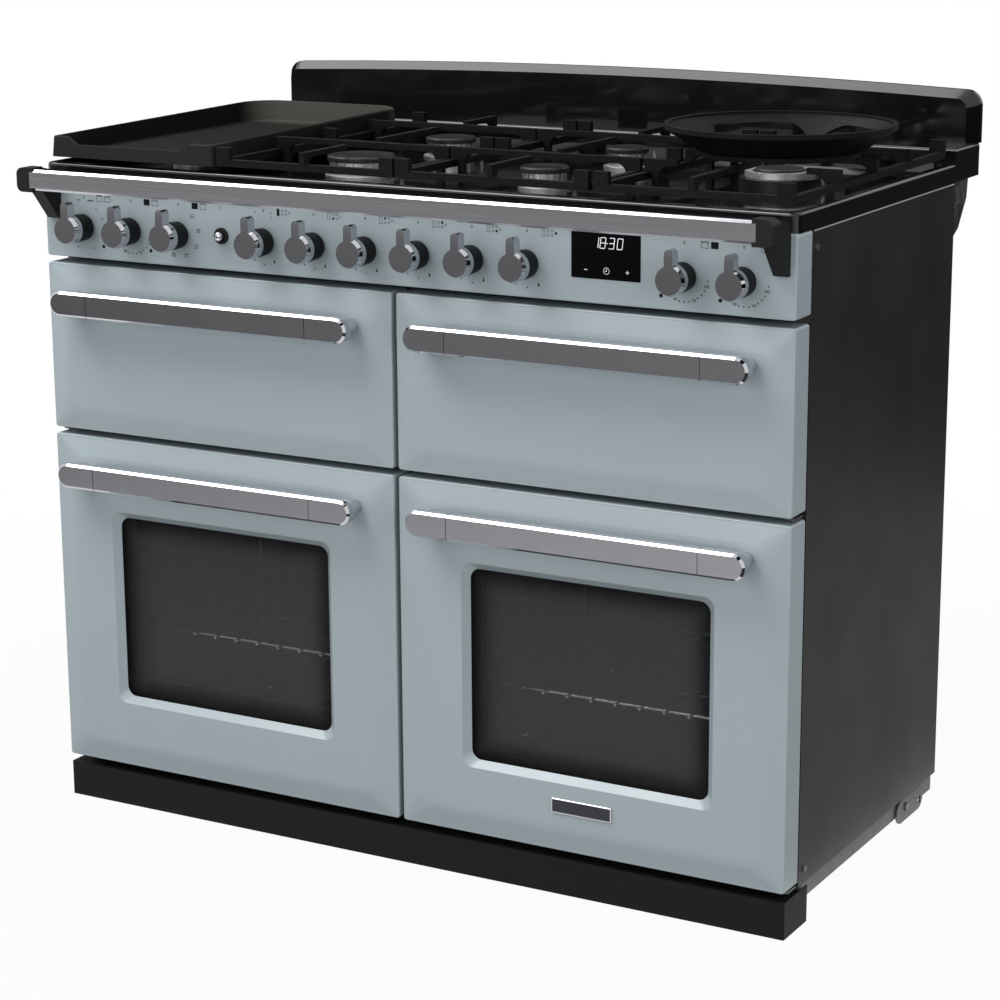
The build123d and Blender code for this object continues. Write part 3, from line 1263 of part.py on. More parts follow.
# Oven shelves: wire grids carried on the racks
with BuildPart() as oven_shelves:
    for side in (-1, 1):
        rails = [
            side * (OVEN_X[0] + SHELF_INSET),
            side * (OVEN_X[1] - SHELF_INSET),
        ]
        left, right = min(rails), max(rails)
        for level in SHELF_AT:
            z = level + WIRE_R + SHELF_WIRE_R + SEAT_GAP
            with BuildSketch(behind(SHELF_Y[0])):
                with Locations((left, z), (right, z)):
                    Circle(SHELF_WIRE_R)
                step = (right - left) / (SHELF_BARS + 1)
                for bar in range(1, SHELF_BARS + 1):
                    with Locations((left + bar * step, z + SHELF_BAR_R / 2)):
                        Circle(SHELF_BAR_R)
            extrude(amount=-(SHELF_Y[1] - SHELF_Y[0]))
            for y in (SHELF_Y[0] + SHELF_END, SHELF_Y[1] - SHELF_END):
                with BuildSketch(Plane.YZ.offset(left)):
                    with Locations((FACE + y, z)):
                        Circle(SHELF_WIRE_R - WELD / 2)
                extrude(amount=right - left)
save(oven_shelves, "oven_shelves")

# Fan covers: slotted plates on four stand-offs in front of each fan
with BuildPart() as fan_baffles:
    for side in (-1, 1):
        x = side * OVEN_MID_X
        with BuildSketch(behind(BAFFLE_AT)):
            with Locations((x, OVEN_MID_Z)):
                RectangleRounded(BAFFLE_W, BAFFLE_W, BAFFLE_R)
                with PolarLocations(INTAKE_R, INTAKE_SLOTS):
                    SlotOverall(INTAKE_L, INTAKE_W, mode=Mode.SUBTRACT)
                with GridLocations(BAFFLE_W - 2 * OUTLET_INSET, OUTLET_PITCH, 2, OUTLET_SLOTS):
                    SlotOverall(OUTLET_L, OUTLET_W, rotation=90, mode=Mode.SUBTRACT)
        extrude(amount=-SHEET)
        with BuildSketch(behind(BAFFLE_AT + SHEET)):
            with Locations((x, OVEN_MID_Z)):
                standoff = BAFFLE_W - 2 * STANDOFF_INSET
                with GridLocations(standoff, standoff, 2, 2):
                    Circle(STANDOFF_R)
        extrude(amount=-(OVEN_DEPTH - BAFFLE_AT - SHEET))
save(fan_baffles, "fan_baffles")

# Heating elements: the grill's serpentine and a ring round each fan
with BuildPart() as heating_elements:
    pitch = GRILL_PITCH
    first = (GRILL_X[0] + GRILL_X[1]) / 2 - pitch * (GRILL_RUNS - 1) / 2
    near = FACE + GRILL_FRONT
    bend = FACE + GRILL_BEND
    far = FACE + GRILL_DEPTH
    element_z = GRILL_Z[1] - GRILL_DROP
    with BuildLine(Plane.XY.offset(element_z)):
        for run in range(GRILL_RUNS):
            x = first + run * pitch
            tail = far if run in (0, GRILL_RUNS - 1) else bend
            ends = [(x, tail), (x, near)] if run % 2 == 0 else [(x, near), (x, tail)]
            Line(*ends)
            if run < GRILL_RUNS - 1:
                y, sign = (near, -1) if run % 2 == 0 else (bend, 1)
                ThreePointArc((x, y), (x + pitch / 2, y + sign * pitch / 2), (x + pitch, y))
    with BuildSketch(Plane(origin=(first, far, element_z), z_dir=(0, -1, 0))):
        Circle(ELEMENT_R)
    sweep()
    for side in (-1, 1):
        x = side * OVEN_MID_X
        with BuildSketch(Plane.XY.offset(OVEN_MID_Z)):
            with Locations((x + RING_R, FACE + RING_AT)):
                Circle(ELEMENT_R)
        revolve(axis=Axis((x, 0, OVEN_MID_Z), (0, 1, 0)))
        with BuildSketch(behind(RING_AT)):
            tails = [(x + tail, OVEN_MID_Z - RING_R) for tail in (-RING_TAIL, RING_TAIL)]
            with Locations(tails):
                Circle(ELEMENT_R - WELD)
        extrude(amount=-(OVEN_DEPTH - RING_AT))
save(heating_elements, "heating_elements")

# Fan motors: cans behind the ovens with a shaft through each rear wall
with BuildPart() as fan_motors:
    for side in (-1, 1):
        spot = (side * OVEN_MID_X, OVEN_MID_Z)
        with BuildSketch(behind(OVEN_DEPTH + SHEET)):
            with Locations(spot):
                Circle(MOTOR_R)
        extrude(amount=-(MOTOR_BACK - OVEN_DEPTH - SHEET))
        with BuildSketch(behind(FAN_FRONT)):
            with Locations(spot):
                Circle(SHAFT_R)
        extrude(amount=-(OVEN_DEPTH + SHEET - FAN_FRONT))
save(fan_motors, "fan_motors")

# Fans: pressed impellers with radial blades
for side, name in ((-1, "left_fan"), (1, "right_fan")):
    with BuildPart() as fan:
        spot = (side * OVEN_MID_X, OVEN_MID_Z)
        with BuildSketch(behind(FAN_BACK)):
            with Locations(spot):
                Circle(FAN_R)
        extrude(amount=-SHEET)
        with BuildSketch(behind(FAN_FRONT)):
            with Locations(spot):
                Circle(FAN_HUB_R)
                with PolarLocations(BLADE_R, BLADES):
                    Rectangle(BLADE_L, SHEET)
        extrude(amount=-(FAN_BACK - FAN_FRONT))
        with BuildSketch(behind(FAN_FRONT)):
            with Locations(spot):
                Circle(SHAFT_R + RUNNING_GAP)
        extrude(amount=-(FAN_BACK + SHEET - FAN_FRONT), mode=Mode.SUBTRACT)
    save(fan, name)

# Levelling feet: screw feet under the front corners
with BuildPart() as levelling_feet:
    with BuildSketch(Plane.XY):
        with Locations((-FOOT_X, FACE + FOOT_Y), (FOOT_X, FACE + FOOT_Y)):
            Circle(FOOT_R)
    extrude(amount=FOOT_H)
    with BuildSketch(Plane.XY.offset(FOOT_H)):
        with Locations((-FOOT_X, FACE + FOOT_Y), (FOOT_X, FACE + FOOT_Y)):
            Circle(FOOT_STUD_R)
    extrude(amount=FLOOR_BASE - FOOT_H)
save(levelling_feet, "levelling_feet")

# Rear rollers: two wheels on one axle through the base brackets
with BuildPart() as rear_rollers:
    for x in (-ROLLER_X, ROLLER_X):
        with BuildSketch(Plane.YZ.offset(x - ROLLER_W / 2)):
            with Locations((FACE + AXLE_Y, ROLLER_R)):
                Circle(ROLLER_R)
        extrude(amount=ROLLER_W)
    chamfer(rear_rollers.edges().filter_by(GeomType.CIRCLE), ROLLER_EDGE)
    with BuildSketch(Plane.YZ.offset(-AXLE_HALF)):
        with Locations((FACE + AXLE_Y, ROLLER_R)):
            Circle(AXLE_R)
    extrude(amount=2 * AXLE_HALF)
save(rear_rollers, "rear_rollers")

# Fasteners: side panel screws and the bolts of the roller brackets
with BuildPart() as fasteners:
    for side in (-1, 1):
        with BuildSketch(Plane.YZ.offset(side * HALF)):
            with Locations([(FACE + depth, z) for depth, z in SIDE_SCREWS]):
                Circle(SCREW_R)
        extrude(amount=side * SCREW_H)
        with BuildSketch(Plane.YZ.offset(side * (RAIL_X + BRACKET))):
            with Locations((FACE + BRACKET_BOLT[0], BRACKET_BOLT[1])):
                RegularPolygon(BOLT_R, 6)
        extrude(amount=side * SCREW_H)
save(fasteners, "fasteners")
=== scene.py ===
import math
import bmesh
import bpy
import numpy as np
from mathutils import Matrix, Vector


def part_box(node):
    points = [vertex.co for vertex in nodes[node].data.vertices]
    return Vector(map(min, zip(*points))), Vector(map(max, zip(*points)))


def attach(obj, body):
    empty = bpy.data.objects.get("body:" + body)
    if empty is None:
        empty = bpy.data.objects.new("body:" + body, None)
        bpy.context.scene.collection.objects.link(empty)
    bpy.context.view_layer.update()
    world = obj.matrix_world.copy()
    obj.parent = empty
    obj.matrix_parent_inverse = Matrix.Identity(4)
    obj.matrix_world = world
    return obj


# Free-standing range cooker, metres, +Z up, doors towards -Y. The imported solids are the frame;
# each section below dresses one piece, in the order in which the cooker is put together.
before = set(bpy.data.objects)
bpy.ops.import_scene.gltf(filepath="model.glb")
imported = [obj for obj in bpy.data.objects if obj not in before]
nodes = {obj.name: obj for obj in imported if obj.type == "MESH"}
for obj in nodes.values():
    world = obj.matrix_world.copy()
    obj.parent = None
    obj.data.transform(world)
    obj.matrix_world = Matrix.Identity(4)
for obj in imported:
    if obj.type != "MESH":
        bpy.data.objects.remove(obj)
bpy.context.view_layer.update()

# The studio: a pale paper floor, a white room, a large soft box overhead and the camera, which stands to
# the right of the cooker and above it. Grey cards out of frame, as in any metalware shot, shape what the
# chrome and the gloss black mirror; nothing else sees them.
CAMERA_AT = (1.754, -3.1065, 1.3265)
CAMERA_AZIMUTH = math.radians(29.489)
CAMERA_ELEVATION = math.radians(14.085)
CAMERA_ROLL = math.radians(-0.363)
FOCAL_PX, IMAGE_PX, SENSOR_MM = 2694.2, 1000.0, 36.0
forward = Vector((
    -math.sin(CAMERA_AZIMUTH) * math.cos(CAMERA_ELEVATION),
    math.cos(CAMERA_AZIMUTH) * math.cos(CAMERA_ELEVATION),
    -math.sin(CAMERA_ELEVATION),
))
level = forward.cross(Vector((0, 0, 1))).normalized()
upright = level.cross(forward)
right = math.cos(CAMERA_ROLL) * level + math.sin(CAMERA_ROLL) * upright
above = right.cross(forward)
camera_data = bpy.data.cameras.new("camera")
camera_data.sensor_width = SENSOR_MM
camera_data.lens = FOCAL_PX / IMAGE_PX * SENSOR_MM
camera = bpy.data.objects.new("camera", camera_data)
bpy.context.scene.collection.objects.link(camera)
turn = Matrix((right, above, -forward)).transposed().to_4x4()
camera.matrix_world = Matrix.Translation(CAMERA_AT) @ turn
bpy.context.scene.camera = camera
bpy.context.scene.view_settings.view_transform = "Standard"


def quads_of(index):
    """Four neighbours of a grid of corner numbers make each quad, taken in turn round it."""
    return np.stack((index[:-1, :-1], index[:-1, 1:], index[1:, 1:], index[1:, :-1]), -1).reshape(-1, 4)


def skin(name, corners, quads, smooth=True):
    """New object of the given corners and quads, welded where seams or poles meet."""
    mesh = bpy.data.meshes.new(name)
    mesh.from_pydata(corners.reshape(-1, 3).tolist(), [], quads.tolist())
    welded = bmesh.new()
    welded.from_mesh(mesh)
    bmesh.ops.remove_doubles(welded, verts=welded.verts, dist=1e-6)
    welded.to_mesh(mesh)
    welded.free()
    mesh.polygons.foreach_set("use_smooth", np.full(len(mesh.polygons), smooth))
    mesh.update()
    piece = bpy.data.objects.new(name, mesh)
    bpy.context.scene.collection.objects.link(piece)
    return piece


def sheet_between(name, middle, across, along):
    """Flat four-cornered sheet: its middle plus or minus each of two half-length vectors."""
    middle, across, along = (np.array(v, float) for v in (middle, across, along))
    sign = np.array([-1.0, 1.0])
    corners = middle + sign[:, None, None] * along + sign[None, :, None] * across
    return skin(name, corners, quads_of(np.arange(4).reshape(2, 2)), smooth=False)


FLOOR_HALF, FLOOR_Z = 3.4, -0.0005
FLOOR_SHADE = (0.26, 0.26, 0.263, 1.0)
FLOOR_LIFT = (0.96, 1.0)
FLOOR_FADE = (0.75, 2.1)
floor = sheet_between("floor", (0, 0, FLOOR_Z), (FLOOR_HALF, 0, 0), (0, FLOOR_HALF, 0))
paper = bpy.data.materials.new("studio_paper")
paper.use_nodes = True
tree = paper.node_tree
matt = tree.nodes["Principled BSDF"]
matt.inputs["Base Color"].default_value = FLOOR_SHADE
matt.inputs["Roughness"].default_value = 0.9
matt.inputs["Specular IOR Level"].default_value = 0.1
place = tree.nodes.new("ShaderNodeTexCoord")
reach = tree.nodes.new("ShaderNodeVectorMath")
reach.operation = "LENGTH"
fade = tree.nodes.new("ShaderNodeMapRange")
fade.interpolation_type = "SMOOTHSTEP"
fade.inputs["From Min"].default_value, fade.inputs["From Max"].default_value = FLOOR_FADE
fade.inputs["To Min"].default_value, fade.inputs["To Max"].default_value = FLOOR_LIFT


def seen_rays(tree):
    """One for rays of the camera, of mirrors and of glass, none for rays that carry light to a surface."""
    rays = tree.nodes.new("ShaderNodeLightPath")
    either = tree.nodes.new("ShaderNodeMath")
    either.operation = "MAXIMUM"
    any_of = tree.nodes.new("ShaderNodeMath")
    any_of.operation = "MAXIMUM"
    tree.links.new(rays.outputs["Is Camera Ray"], either.inputs[0])
    tree.links.new(rays.outputs["Is Glossy Ray"], either.inputs[1])
    tree.links.new(either.outputs["Value"], any_of.inputs[0])
    tree.links.new(rays.outputs["Is Transmission Ray"], any_of.inputs[1])
    return any_of.outputs["Value"]


lift = tree.nodes.new("ShaderNodeMath")
lift.operation = "MULTIPLY"
white = tree.nodes.new("ShaderNodeEmission")
mixed = tree.nodes.new("ShaderNodeMixShader")
tree.links.new(place.outputs["Object"], reach.inputs[0])
tree.links.new(reach.outputs["Value"], fade.inputs["Value"])
tree.links.new(fade.outputs["Result"], lift.inputs[0])
tree.links.new(seen_rays(tree), lift.inputs[1])
tree.links.new(lift.outputs["Value"], mixed.inputs["Fac"])
tree.links.new(matt.outputs["BSDF"], mixed.inputs[1])
tree.links.new(white.outputs["Emission"], mixed.inputs[2])
tree.links.new(mixed.outputs["Shader"], tree.nodes["Material Output"].inputs["Surface"])
floor.data.materials.append(paper)

ROOM_SHADE = (0.60, 0.615, 0.63, 1.0)
world = bpy.data.worlds.new("studio")
bpy.context.scene.world = world
world.use_nodes = True
tree = world.node_tree
room = tree.nodes["Background"]
room.inputs["Color"].default_value = ROOM_SHADE
backdrop = tree.nodes.new("ShaderNodeBackground")
backdrop.inputs["Color"].default_value = (1.0, 1.0, 1.0, 1.0)
choose = tree.nodes.new("ShaderNodeMixShader")
tree.links.new(seen_rays(tree), choose.inputs["Fac"])
tree.links.new(room.outputs["Background"], choose.inputs[1])
tree.links.new(backdrop.outputs["Background"], choose.inputs[2])
tree.links.new(choose.outputs["Shader"], tree.nodes["World Output"].inputs["Surface"])


def card(name, middle, across, along, shade):
    """Studio card of one grey that only mirrors see; its glow node is handed back for a graded one."""
    plate = sheet_between(name, middle, across, along)
    grey = bpy.data.materials.new(name)
    grey.use_nodes = True
    tree = grey.node_tree
    glow = tree.nodes.new("ShaderNodeEmission")
    glow.inputs["Color"].default_value = (shade, shade, shade, 1)
    tree.links.new(glow.outputs["Emission"], tree.nodes["Material Output"].inputs["Surface"])
    plate.data.materials.append(grey)
    plate.visible_camera = False
    plate.visible_diffuse = False
    plate.visible_shadow = False
    plate.visible_transmission = False
    return glow


def graded(glow, left, right):
    """Make a card's glow go evenly over x from one place and strength to another; its nodes come back."""
    tree = glow.id_data
    place = tree.nodes.new("ShaderNodeTexCoord")
    split = tree.nodes.new("ShaderNodeSeparateXYZ")
    grade = tree.nodes.new("ShaderNodeMapRange")
    (grade.inputs["From Min"].default_value, grade.inputs["To Min"].default_value) = left
    (grade.inputs["From Max"].default_value, grade.inputs["To Max"].default_value) = right
    tree.links.new(place.outputs["Object"], split.inputs["Vector"])
    tree.links.new(split.outputs["X"], grade.inputs["Value"])
    tree.links.new(grade.outputs["Result"], glow.inputs["Strength"])
    return tree, split, grade


FLOOR_CARD_LEFT, FLOOR_CARD_RIGHT = (-1.83, 0.75), (-0.21, 1.26)
glow = card("floor_card_front", (-1.2, -2.15, 0.002), (2.6, 0, 0), (0, 0.45, 0), 0.40)
graded(glow, FLOOR_CARD_LEFT, FLOOR_CARD_RIGHT)
PLAIN_CARDS = (
    ("floor_card_right", (1.75, 0.95, 0.002), (1.15, 0, 0), (0, 1.05, 0), 0.33),
    ("end_card", (2.1, -1.0, 0.002), (1.4, 0, 0), (0, 0.9, 0), 0.05),
    ("rear_card", (-2.15, 2.6, 1.9), (2.45, 0, 0), (0, 0, 1.1), 0.01),
    ("right_card", (2.4, 2.0, 0.5), (1.8, 0, 0), (0, 0, 0.5), 0.03),
    ("upper_card", (1.6, -1.7, 2.9), (0.7, 0, 0), (0, 0.6, 0), 0.01),
    ("far_card", (3.2, 0.45, 0.6), (0, 1.0, 0), (0, 0, 0.6), 0.0),
    ("ceiling_card", (-1.4, 1.25, 3.0), (1.2, 0, 0), (0, 0.7, 0), 2.6),
)
for plain in PLAIN_CARDS:
    card(*plain)

FRONT_CARD_TOP = 0.75
FRONT_CARD_BANDS = ((0.0, 0.26), (0.38, 0.28), (0.46, 0.33), (0.6, 0.34), (0.64, 1.15), (0.715, 1.15),
                    (0.75, 0.04), (1.0, 0.03))
FRONT_CARD_LEFT, FRONT_CARD_RIGHT = (-2.4, 0.525), (-0.5, 0.86)
FRONT_CARD_TURN, FRONT_CARD_UPPER = (0.27, 0.33), 0.47
glow = card("front_card", (-1.0, -2.6, FRONT_CARD_TOP / 2), (3.2, 0, 0), (0, 0, FRONT_CARD_TOP / 2), 0.3)
tree, split, grade = graded(glow, FRONT_CARD_LEFT, FRONT_CARD_RIGHT)
higher = tree.nodes.new("ShaderNodeMapRange")
higher.inputs["From Min"].default_value, higher.inputs["From Max"].default_value = FRONT_CARD_TURN
higher.inputs["To Min"].default_value = FRONT_CARD_RIGHT[1]
higher.inputs["To Max"].default_value = FRONT_CARD_UPPER
height = tree.nodes.new("ShaderNodeMath")
height.operation = "DIVIDE"
height.inputs[1].default_value = FRONT_CARD_TOP
bands = tree.nodes.new("ShaderNodeValToRGB")
for at, _ in FRONT_CARD_BANDS[1:-1]:
    bands.color_ramp.elements.new(at)
for stop, (at, shade) in zip(bands.color_ramp.elements, FRONT_CARD_BANDS):
    stop.position, stop.color = at, (shade, shade, shade, 1)
tree.links.new(split.outputs["Z"], height.inputs[0])
tree.links.new(split.outputs["Z"], higher.inputs["Value"])
tree.links.new(higher.outputs["Result"], grade.inputs["To Max"])
tree.links.new(height.outputs["Value"], bands.inputs["Fac"])
tree.links.new(bands.outputs["Color"], glow.inputs["Color"])


def soft_box(name, at, towards, width, height, watts):
    """Area lamp of the given size, turned to face a point."""
    lamp = bpy.data.lights.new(name, "AREA")
    lamp.shape = "RECTANGLE"
    lamp.size, lamp.size_y = width, height
    lamp.energy = watts
    box = bpy.data.objects.new(name, lamp)
    bpy.context.scene.collection.objects.link(box)
    aim = (Vector(towards) - Vector(at)).to_track_quat("-Z", "Y")
    box.matrix_world = Matrix.Translation(at) @ aim.to_matrix().to_4x4()
    return box


soft_box("overhead_soft_box", (-1.15, -1.25, 3.0), (0.0, -0.1, 0.5), width=2.4, height=1.4, watts=82.0)
soft_box("front_fill", (0.2, -3.7, 1.5), (0.0, -0.3, 0.6), width=2.6, height=1.6, watts=24.0)
side_fill = soft_box("side_fill", (2.7, -1.7, 1.1), (0.4, -0.3, 0.5), width=1.6, height=1.6, watts=24.0)
side_fill.visible_glossy = False

# Base frame, runners, hinges, bolts and the drawer's box: folded zinc-coated steel sheet, spot welded, with
# the frosted spangle that hot dipping leaves and fine rolling marks.
ZINC = ((0.13, 0.13, 0.132), (0.19, 0.19, 0.193))


def finish(name, roughness, metallic=0.0, specular=0.5):
    """New finish with its even values set on the shader's own sockets; the shader comes with it."""
    material = bpy.data.materials.new(name)
    material.use_nodes = True
    shader = material.node_tree.nodes["Principled BSDF"]
    shader.inputs["Roughness"].default_value = roughness
    shader.inputs["Metallic"].default_value = metallic
    shader.inputs["Specular IOR Level"].default_value = specular
    return material, shader


def grain(shader, per_metre, detail=2.0, stretch=(1.0, 1.0, 1.0)):
    """Cloud noise on the piece's own coordinates: so many features to a metre, drawn out along an axis."""
    tree = shader.id_data
    place = tree.nodes.new("ShaderNodeTexCoord")
    drawn = tree.nodes.new("ShaderNodeMapping")
    drawn.inputs["Scale"].default_value = stretch
    noise = tree.nodes.new("ShaderNodeTexNoise")
    noise.inputs["Scale"].default_value = per_metre
    noise.inputs["Detail"].default_value = detail
    tree.links.new(place.outputs["Object"], drawn.inputs["Vector"])
    tree.links.new(drawn.outputs["Vector"], noise.inputs["Vector"])
    return noise.outputs[0]


def flakes(shader, per_metre):
    """One random grey for each cell of a cell pattern on the piece's own coordinates."""
    tree = shader.id_data
    place = tree.nodes.new("ShaderNodeTexCoord")
    cells = tree.nodes.new("ShaderNodeTexVoronoi")
    cells.inputs["Scale"].default_value = per_metre
    tree.links.new(place.outputs["Object"], cells.inputs["Vector"])
    return cells.outputs["Color"]


def spread(shader, value, low, high, start=0.3, stop=0.7):
    """A value between start and stop carried over to the range from low to high."""
    tree = shader.id_data
    ranged = tree.nodes.new("ShaderNodeMapRange")
    ranged.inputs["From Min"].default_value = start
    ranged.inputs["From Max"].default_value = stop
    ranged.inputs["To Min"].default_value = low
    ranged.inputs["To Max"].default_value = high
    tree.links.new(value, ranged.inputs["Value"])
    return ranged.outputs["Result"]


def shades(shader, value, first, second):
    """Mix of two colours, plain or from a node: the first where the value is none, the second where one."""
    tree = shader.id_data
    mix = tree.nodes.new("ShaderNodeMix")
    mix.data_type = "RGBA"
    tree.links.new(value, mix.inputs[0])
    for socket, shade in ((mix.inputs[6], first), (mix.inputs[7], second)):
        if isinstance(shade, tuple):
            socket.default_value = (*shade, 1.0)
        else:
            tree.links.new(shade, socket)
    return mix.outputs[2]


def relief(shader, value, depth):
    """Surface relief as deep as given, in metres, where the value goes from none to one."""
    tree = shader.id_data
    bump = tree.nodes.new("ShaderNodeBump")
    bump.inputs["Distance"].default_value = depth
    tree.links.new(value, bump.inputs["Height"])
    return bump.outputs["Normal"]


def feed(shader, **inputs):
    """Lead each named output into the shader's socket of that name."""
    for socket, output in inputs.items():
        shader.id_data.links.new(output, shader.inputs[socket.replace("_", " ")])


def dress(material, *names):
    """Give CAD nodes this finish in their material slot."""
    for name in names:
        held = nodes[name].data.materials
        held.clear()
        held.append(material)


zinc, surface = finish("zinc_sheet", 0.42, 1.0)
spangle = flakes(surface, 140)
feed(surface, Base_Color=shades(surface, spangle, *ZINC),
     Roughness=spread(surface, spangle, 0.34, 0.52, 0, 1),
     Normal=relief(surface, grain(surface, 60, 3.0, (1.0, 14.0, 14.0)), 0.00003))
dress(zinc, "base_frame", "drawer_runners", "drawer_box", "door_hinges")

# Feet and rollers: moulded black plastic feet on threaded stems in front, rubber-tyred rollers behind.
# Tiny mould sparks leave the surface dull and faintly pebbled.
MOULDING = ((0.005, 0.005, 0.005), (0.009, 0.009, 0.009))
moulding, surface = finish("black_moulding", 0.55, specular=0.2)
pebble = grain(surface, 900)
feed(surface, Base_Color=shades(surface, pebble, *MOULDING), Roughness=spread(surface, pebble, 0.48, 0.62),
     Normal=relief(surface, pebble, 0.00006))
dress(moulding, "levelling_feet", "rear_rollers")

# Side panels: folded sheet, stove-painted charcoal, screwed to the base and the front frame. The paint has
# a light orange peel and dulls a little where hands and cloths reach it. The rear panel, which nobody sees,
# is left in bare zinc-coated sheet.
CHARCOAL = ((0.011, 0.011, 0.012), (0.015, 0.015, 0.016))
charcoal, surface = finish("charcoal_paint", 0.36, specular=0.45)
feed(surface, Base_Color=shades(surface, grain(surface, 5), *CHARCOAL),
     Roughness=spread(surface, grain(surface, 9, 4.0), 0.32, 0.42),
     Normal=relief(surface, grain(surface, 420), 0.000012))
dress(charcoal, "left_side_panel", "right_side_panel")
dress(zinc, "rear_panel")

# Top edges of the side panels: a half-round strip along each, in bright bare steel, shows as a bright line
# below the hob tray. It is a painted highlight, standing in for the light the folded, painted flange
# catches.
EDGE_ROLL, EDGE_GAP, EDGE_SHORT = 0.0009, 0.0022, 0.004


def rolled_edge(panel):
    """Half-round strip along the top of a side panel: a half circle facing outward, drawn out along y."""
    low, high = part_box(panel)
    outward = np.sign(low[0] + high[0])
    half_turn = np.linspace(-math.pi / 2, math.pi / 2, 9)
    angle, along = np.meshgrid(half_turn, (low[1] + EDGE_SHORT, high[1] - EDGE_SHORT))
    across = outward * (max(abs(low[0]), abs(high[0])) + EDGE_ROLL * np.cos(angle))
    return np.stack((across, along, high[2] - EDGE_GAP + EDGE_ROLL * np.sin(angle)), -1)


strips = np.stack([rolled_edge(panel) for panel in ("left_side_panel", "right_side_panel")])
index = np.arange(strips.size // 3).reshape(strips.shape[:-1])
rolled = skin("panel_edges", strips, np.vstack([quads_of(strip) for strip in index]))
# Painted highlight: the strip's pale steel colour stands in for light caught on the painted flange.
EDGE_HIGHLIGHT = ((0.34, 0.34, 0.345), (0.46, 0.46, 0.465))
highlight_steel, surface = finish("painted_edge_highlight", 0.3, 1.0)
feed(surface, Base_Color=shades(surface, grain(surface, 90), *EDGE_HIGHLIGHT))
rolled.data.materials.append(highlight_steel)
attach(rolled, "cabinet")

# Screws and bolts: pan-headed steel, blackened, so that they go with the panels they hold. The blacking
# is thin, and the steel shows through it as a dull grey.
BLACKENED = ((0.20, 0.20, 0.205), (0.30, 0.30, 0.305))
blackened, surface = finish("blackened_screws", 0.4, 1.0)
feed(surface, Base_Color=shades(surface, grain(surface, 500), *BLACKENED))
dress(blackened, "fasteners")

# Plinth and front frame: sheet steel in black powder coat, which carries the linings and closes the foot.
# Baking leaves the coat dull and finely pitted.
POWDER = ((0.007, 0.007, 0.0075), (0.011, 0.011, 0.0115))
powder, surface = finish("black_powder_coat", 0.5, specular=0.1)
pits = grain(surface, 650)
feed(surface, Base_Color=shades(surface, pits, *POWDER), Roughness=spread(surface, pits, 0.44, 0.58),
     Normal=relief(surface, pits, 0.00004))
dress(powder, "plinth", "front_frame")

# Oven and grill linings, fan baffles and door liners: pressed steel in black vitreous enamel.
# The enamel is glossy and carries the pale flecks of its ground coat.
ENAMEL = ((0.012, 0.012, 0.013), (0.17, 0.17, 0.18))
lining, surface = finish("flecked_enamel", 0.24, specular=0.45)
fleck = spread(surface, grain(surface, 620, 1.0), 0.0, 1.0, 0.66, 0.74)
feed(surface, Base_Color=shades(surface, fleck, *ENAMEL),
     Roughness=spread(surface, grain(surface, 30), 0.30, 0.40),
     Normal=relief(surface, grain(surface, 45), 0.00003))
dress(lining, "left_oven_cavity", "right_oven_cavity", "grill_cavity", "fan_baffles", "left_door_liner",
      "right_door_liner")

# Fans and their motors: bright stamped wheels and motor cans at the back of the ovens. The sheet is a
# little oily, and drawing has left streaks in one direction.
STAMPED = ((0.44, 0.44, 0.45), (0.56, 0.56, 0.57))
stamped, surface = finish("stamped_steel", 0.32, 1.0)
streak = grain(surface, 30, 3.0, (1.0, 1.0, 16.0))
feed(surface, Base_Color=shades(surface, streak, *STAMPED), Roughness=spread(surface, streak, 0.26, 0.42))
dress(stamped, "left_fan", "right_fan", "fan_motors")

# Heating elements: drawn tube round a wound wire, bent to shape. Red heat has left the sheath a dull
# grey-brown scale.
SCALE = ((0.055, 0.05, 0.047), (0.13, 0.115, 0.10))
scale, surface = finish("heat_scale", 0.6, 0.6)
crust = grain(surface, 260, 4.0)
feed(surface, Base_Color=shades(surface, crust, *SCALE), Roughness=spread(surface, crust, 0.5, 0.75),
     Normal=relief(surface, crust, 0.0001))
dress(scale, "heating_elements")

# Shelf racks and shelves: welded steel wire, chrome plated, hung in the ovens' sides.
# The plating is clouded by heat in patches.
WIRE = ((0.62, 0.62, 0.63), (0.80, 0.795, 0.79))
wire, surface = finish("plated_wire", 0.18, 1.0)
cloud = grain(surface, 14, 3.0)
feed(surface, Base_Color=shades(surface, cloud, *WIRE), Roughness=spread(surface, cloud, 0.12, 0.28))
dress(wire, "shelf_side_racks", "oven_shelves")

# Grill pan: a deep-drawn tray in gloss black enamel, which rests in the grill lining.
# The enamel pools slightly in the corners.
PAN = ((0.005, 0.005, 0.005), (0.009, 0.009, 0.009))
pan_enamel, surface = finish("pan_enamel", 0.14)
feed(surface, Base_Color=shades(surface, grain(surface, 40), *PAN),
     Roughness=spread(surface, grain(surface, 18), 0.10, 0.2),
     Normal=relief(surface, grain(surface, 30), 0.0002))
dress(pan_enamel, "grill_pan")

# Oven doors, grill door, drawer front and control panel: pressed steel with a raised field, stove-painted
# blue-grey in a satin gloss. The paint has a fine orange peel and the least drift of tone.
BLUE_GREY = ((0.300, 0.352, 0.374), (0.314, 0.367, 0.390))
door_paint, surface = finish("blue_grey_paint", 0.34, specular=0.45)
surface.inputs["Coat Weight"].default_value = 0.2
surface.inputs["Coat Roughness"].default_value = 0.16
feed(surface, Base_Color=shades(surface, grain(surface, 4), *BLUE_GREY),
     Roughness=spread(surface, grain(surface, 11, 4.0), 0.31, 0.38),
     Normal=relief(surface, grain(surface, 380), 0.000008))
dress(door_paint, "left_door_panel", "right_door_panel", "grill_door", "drawer_front", "control_panel")
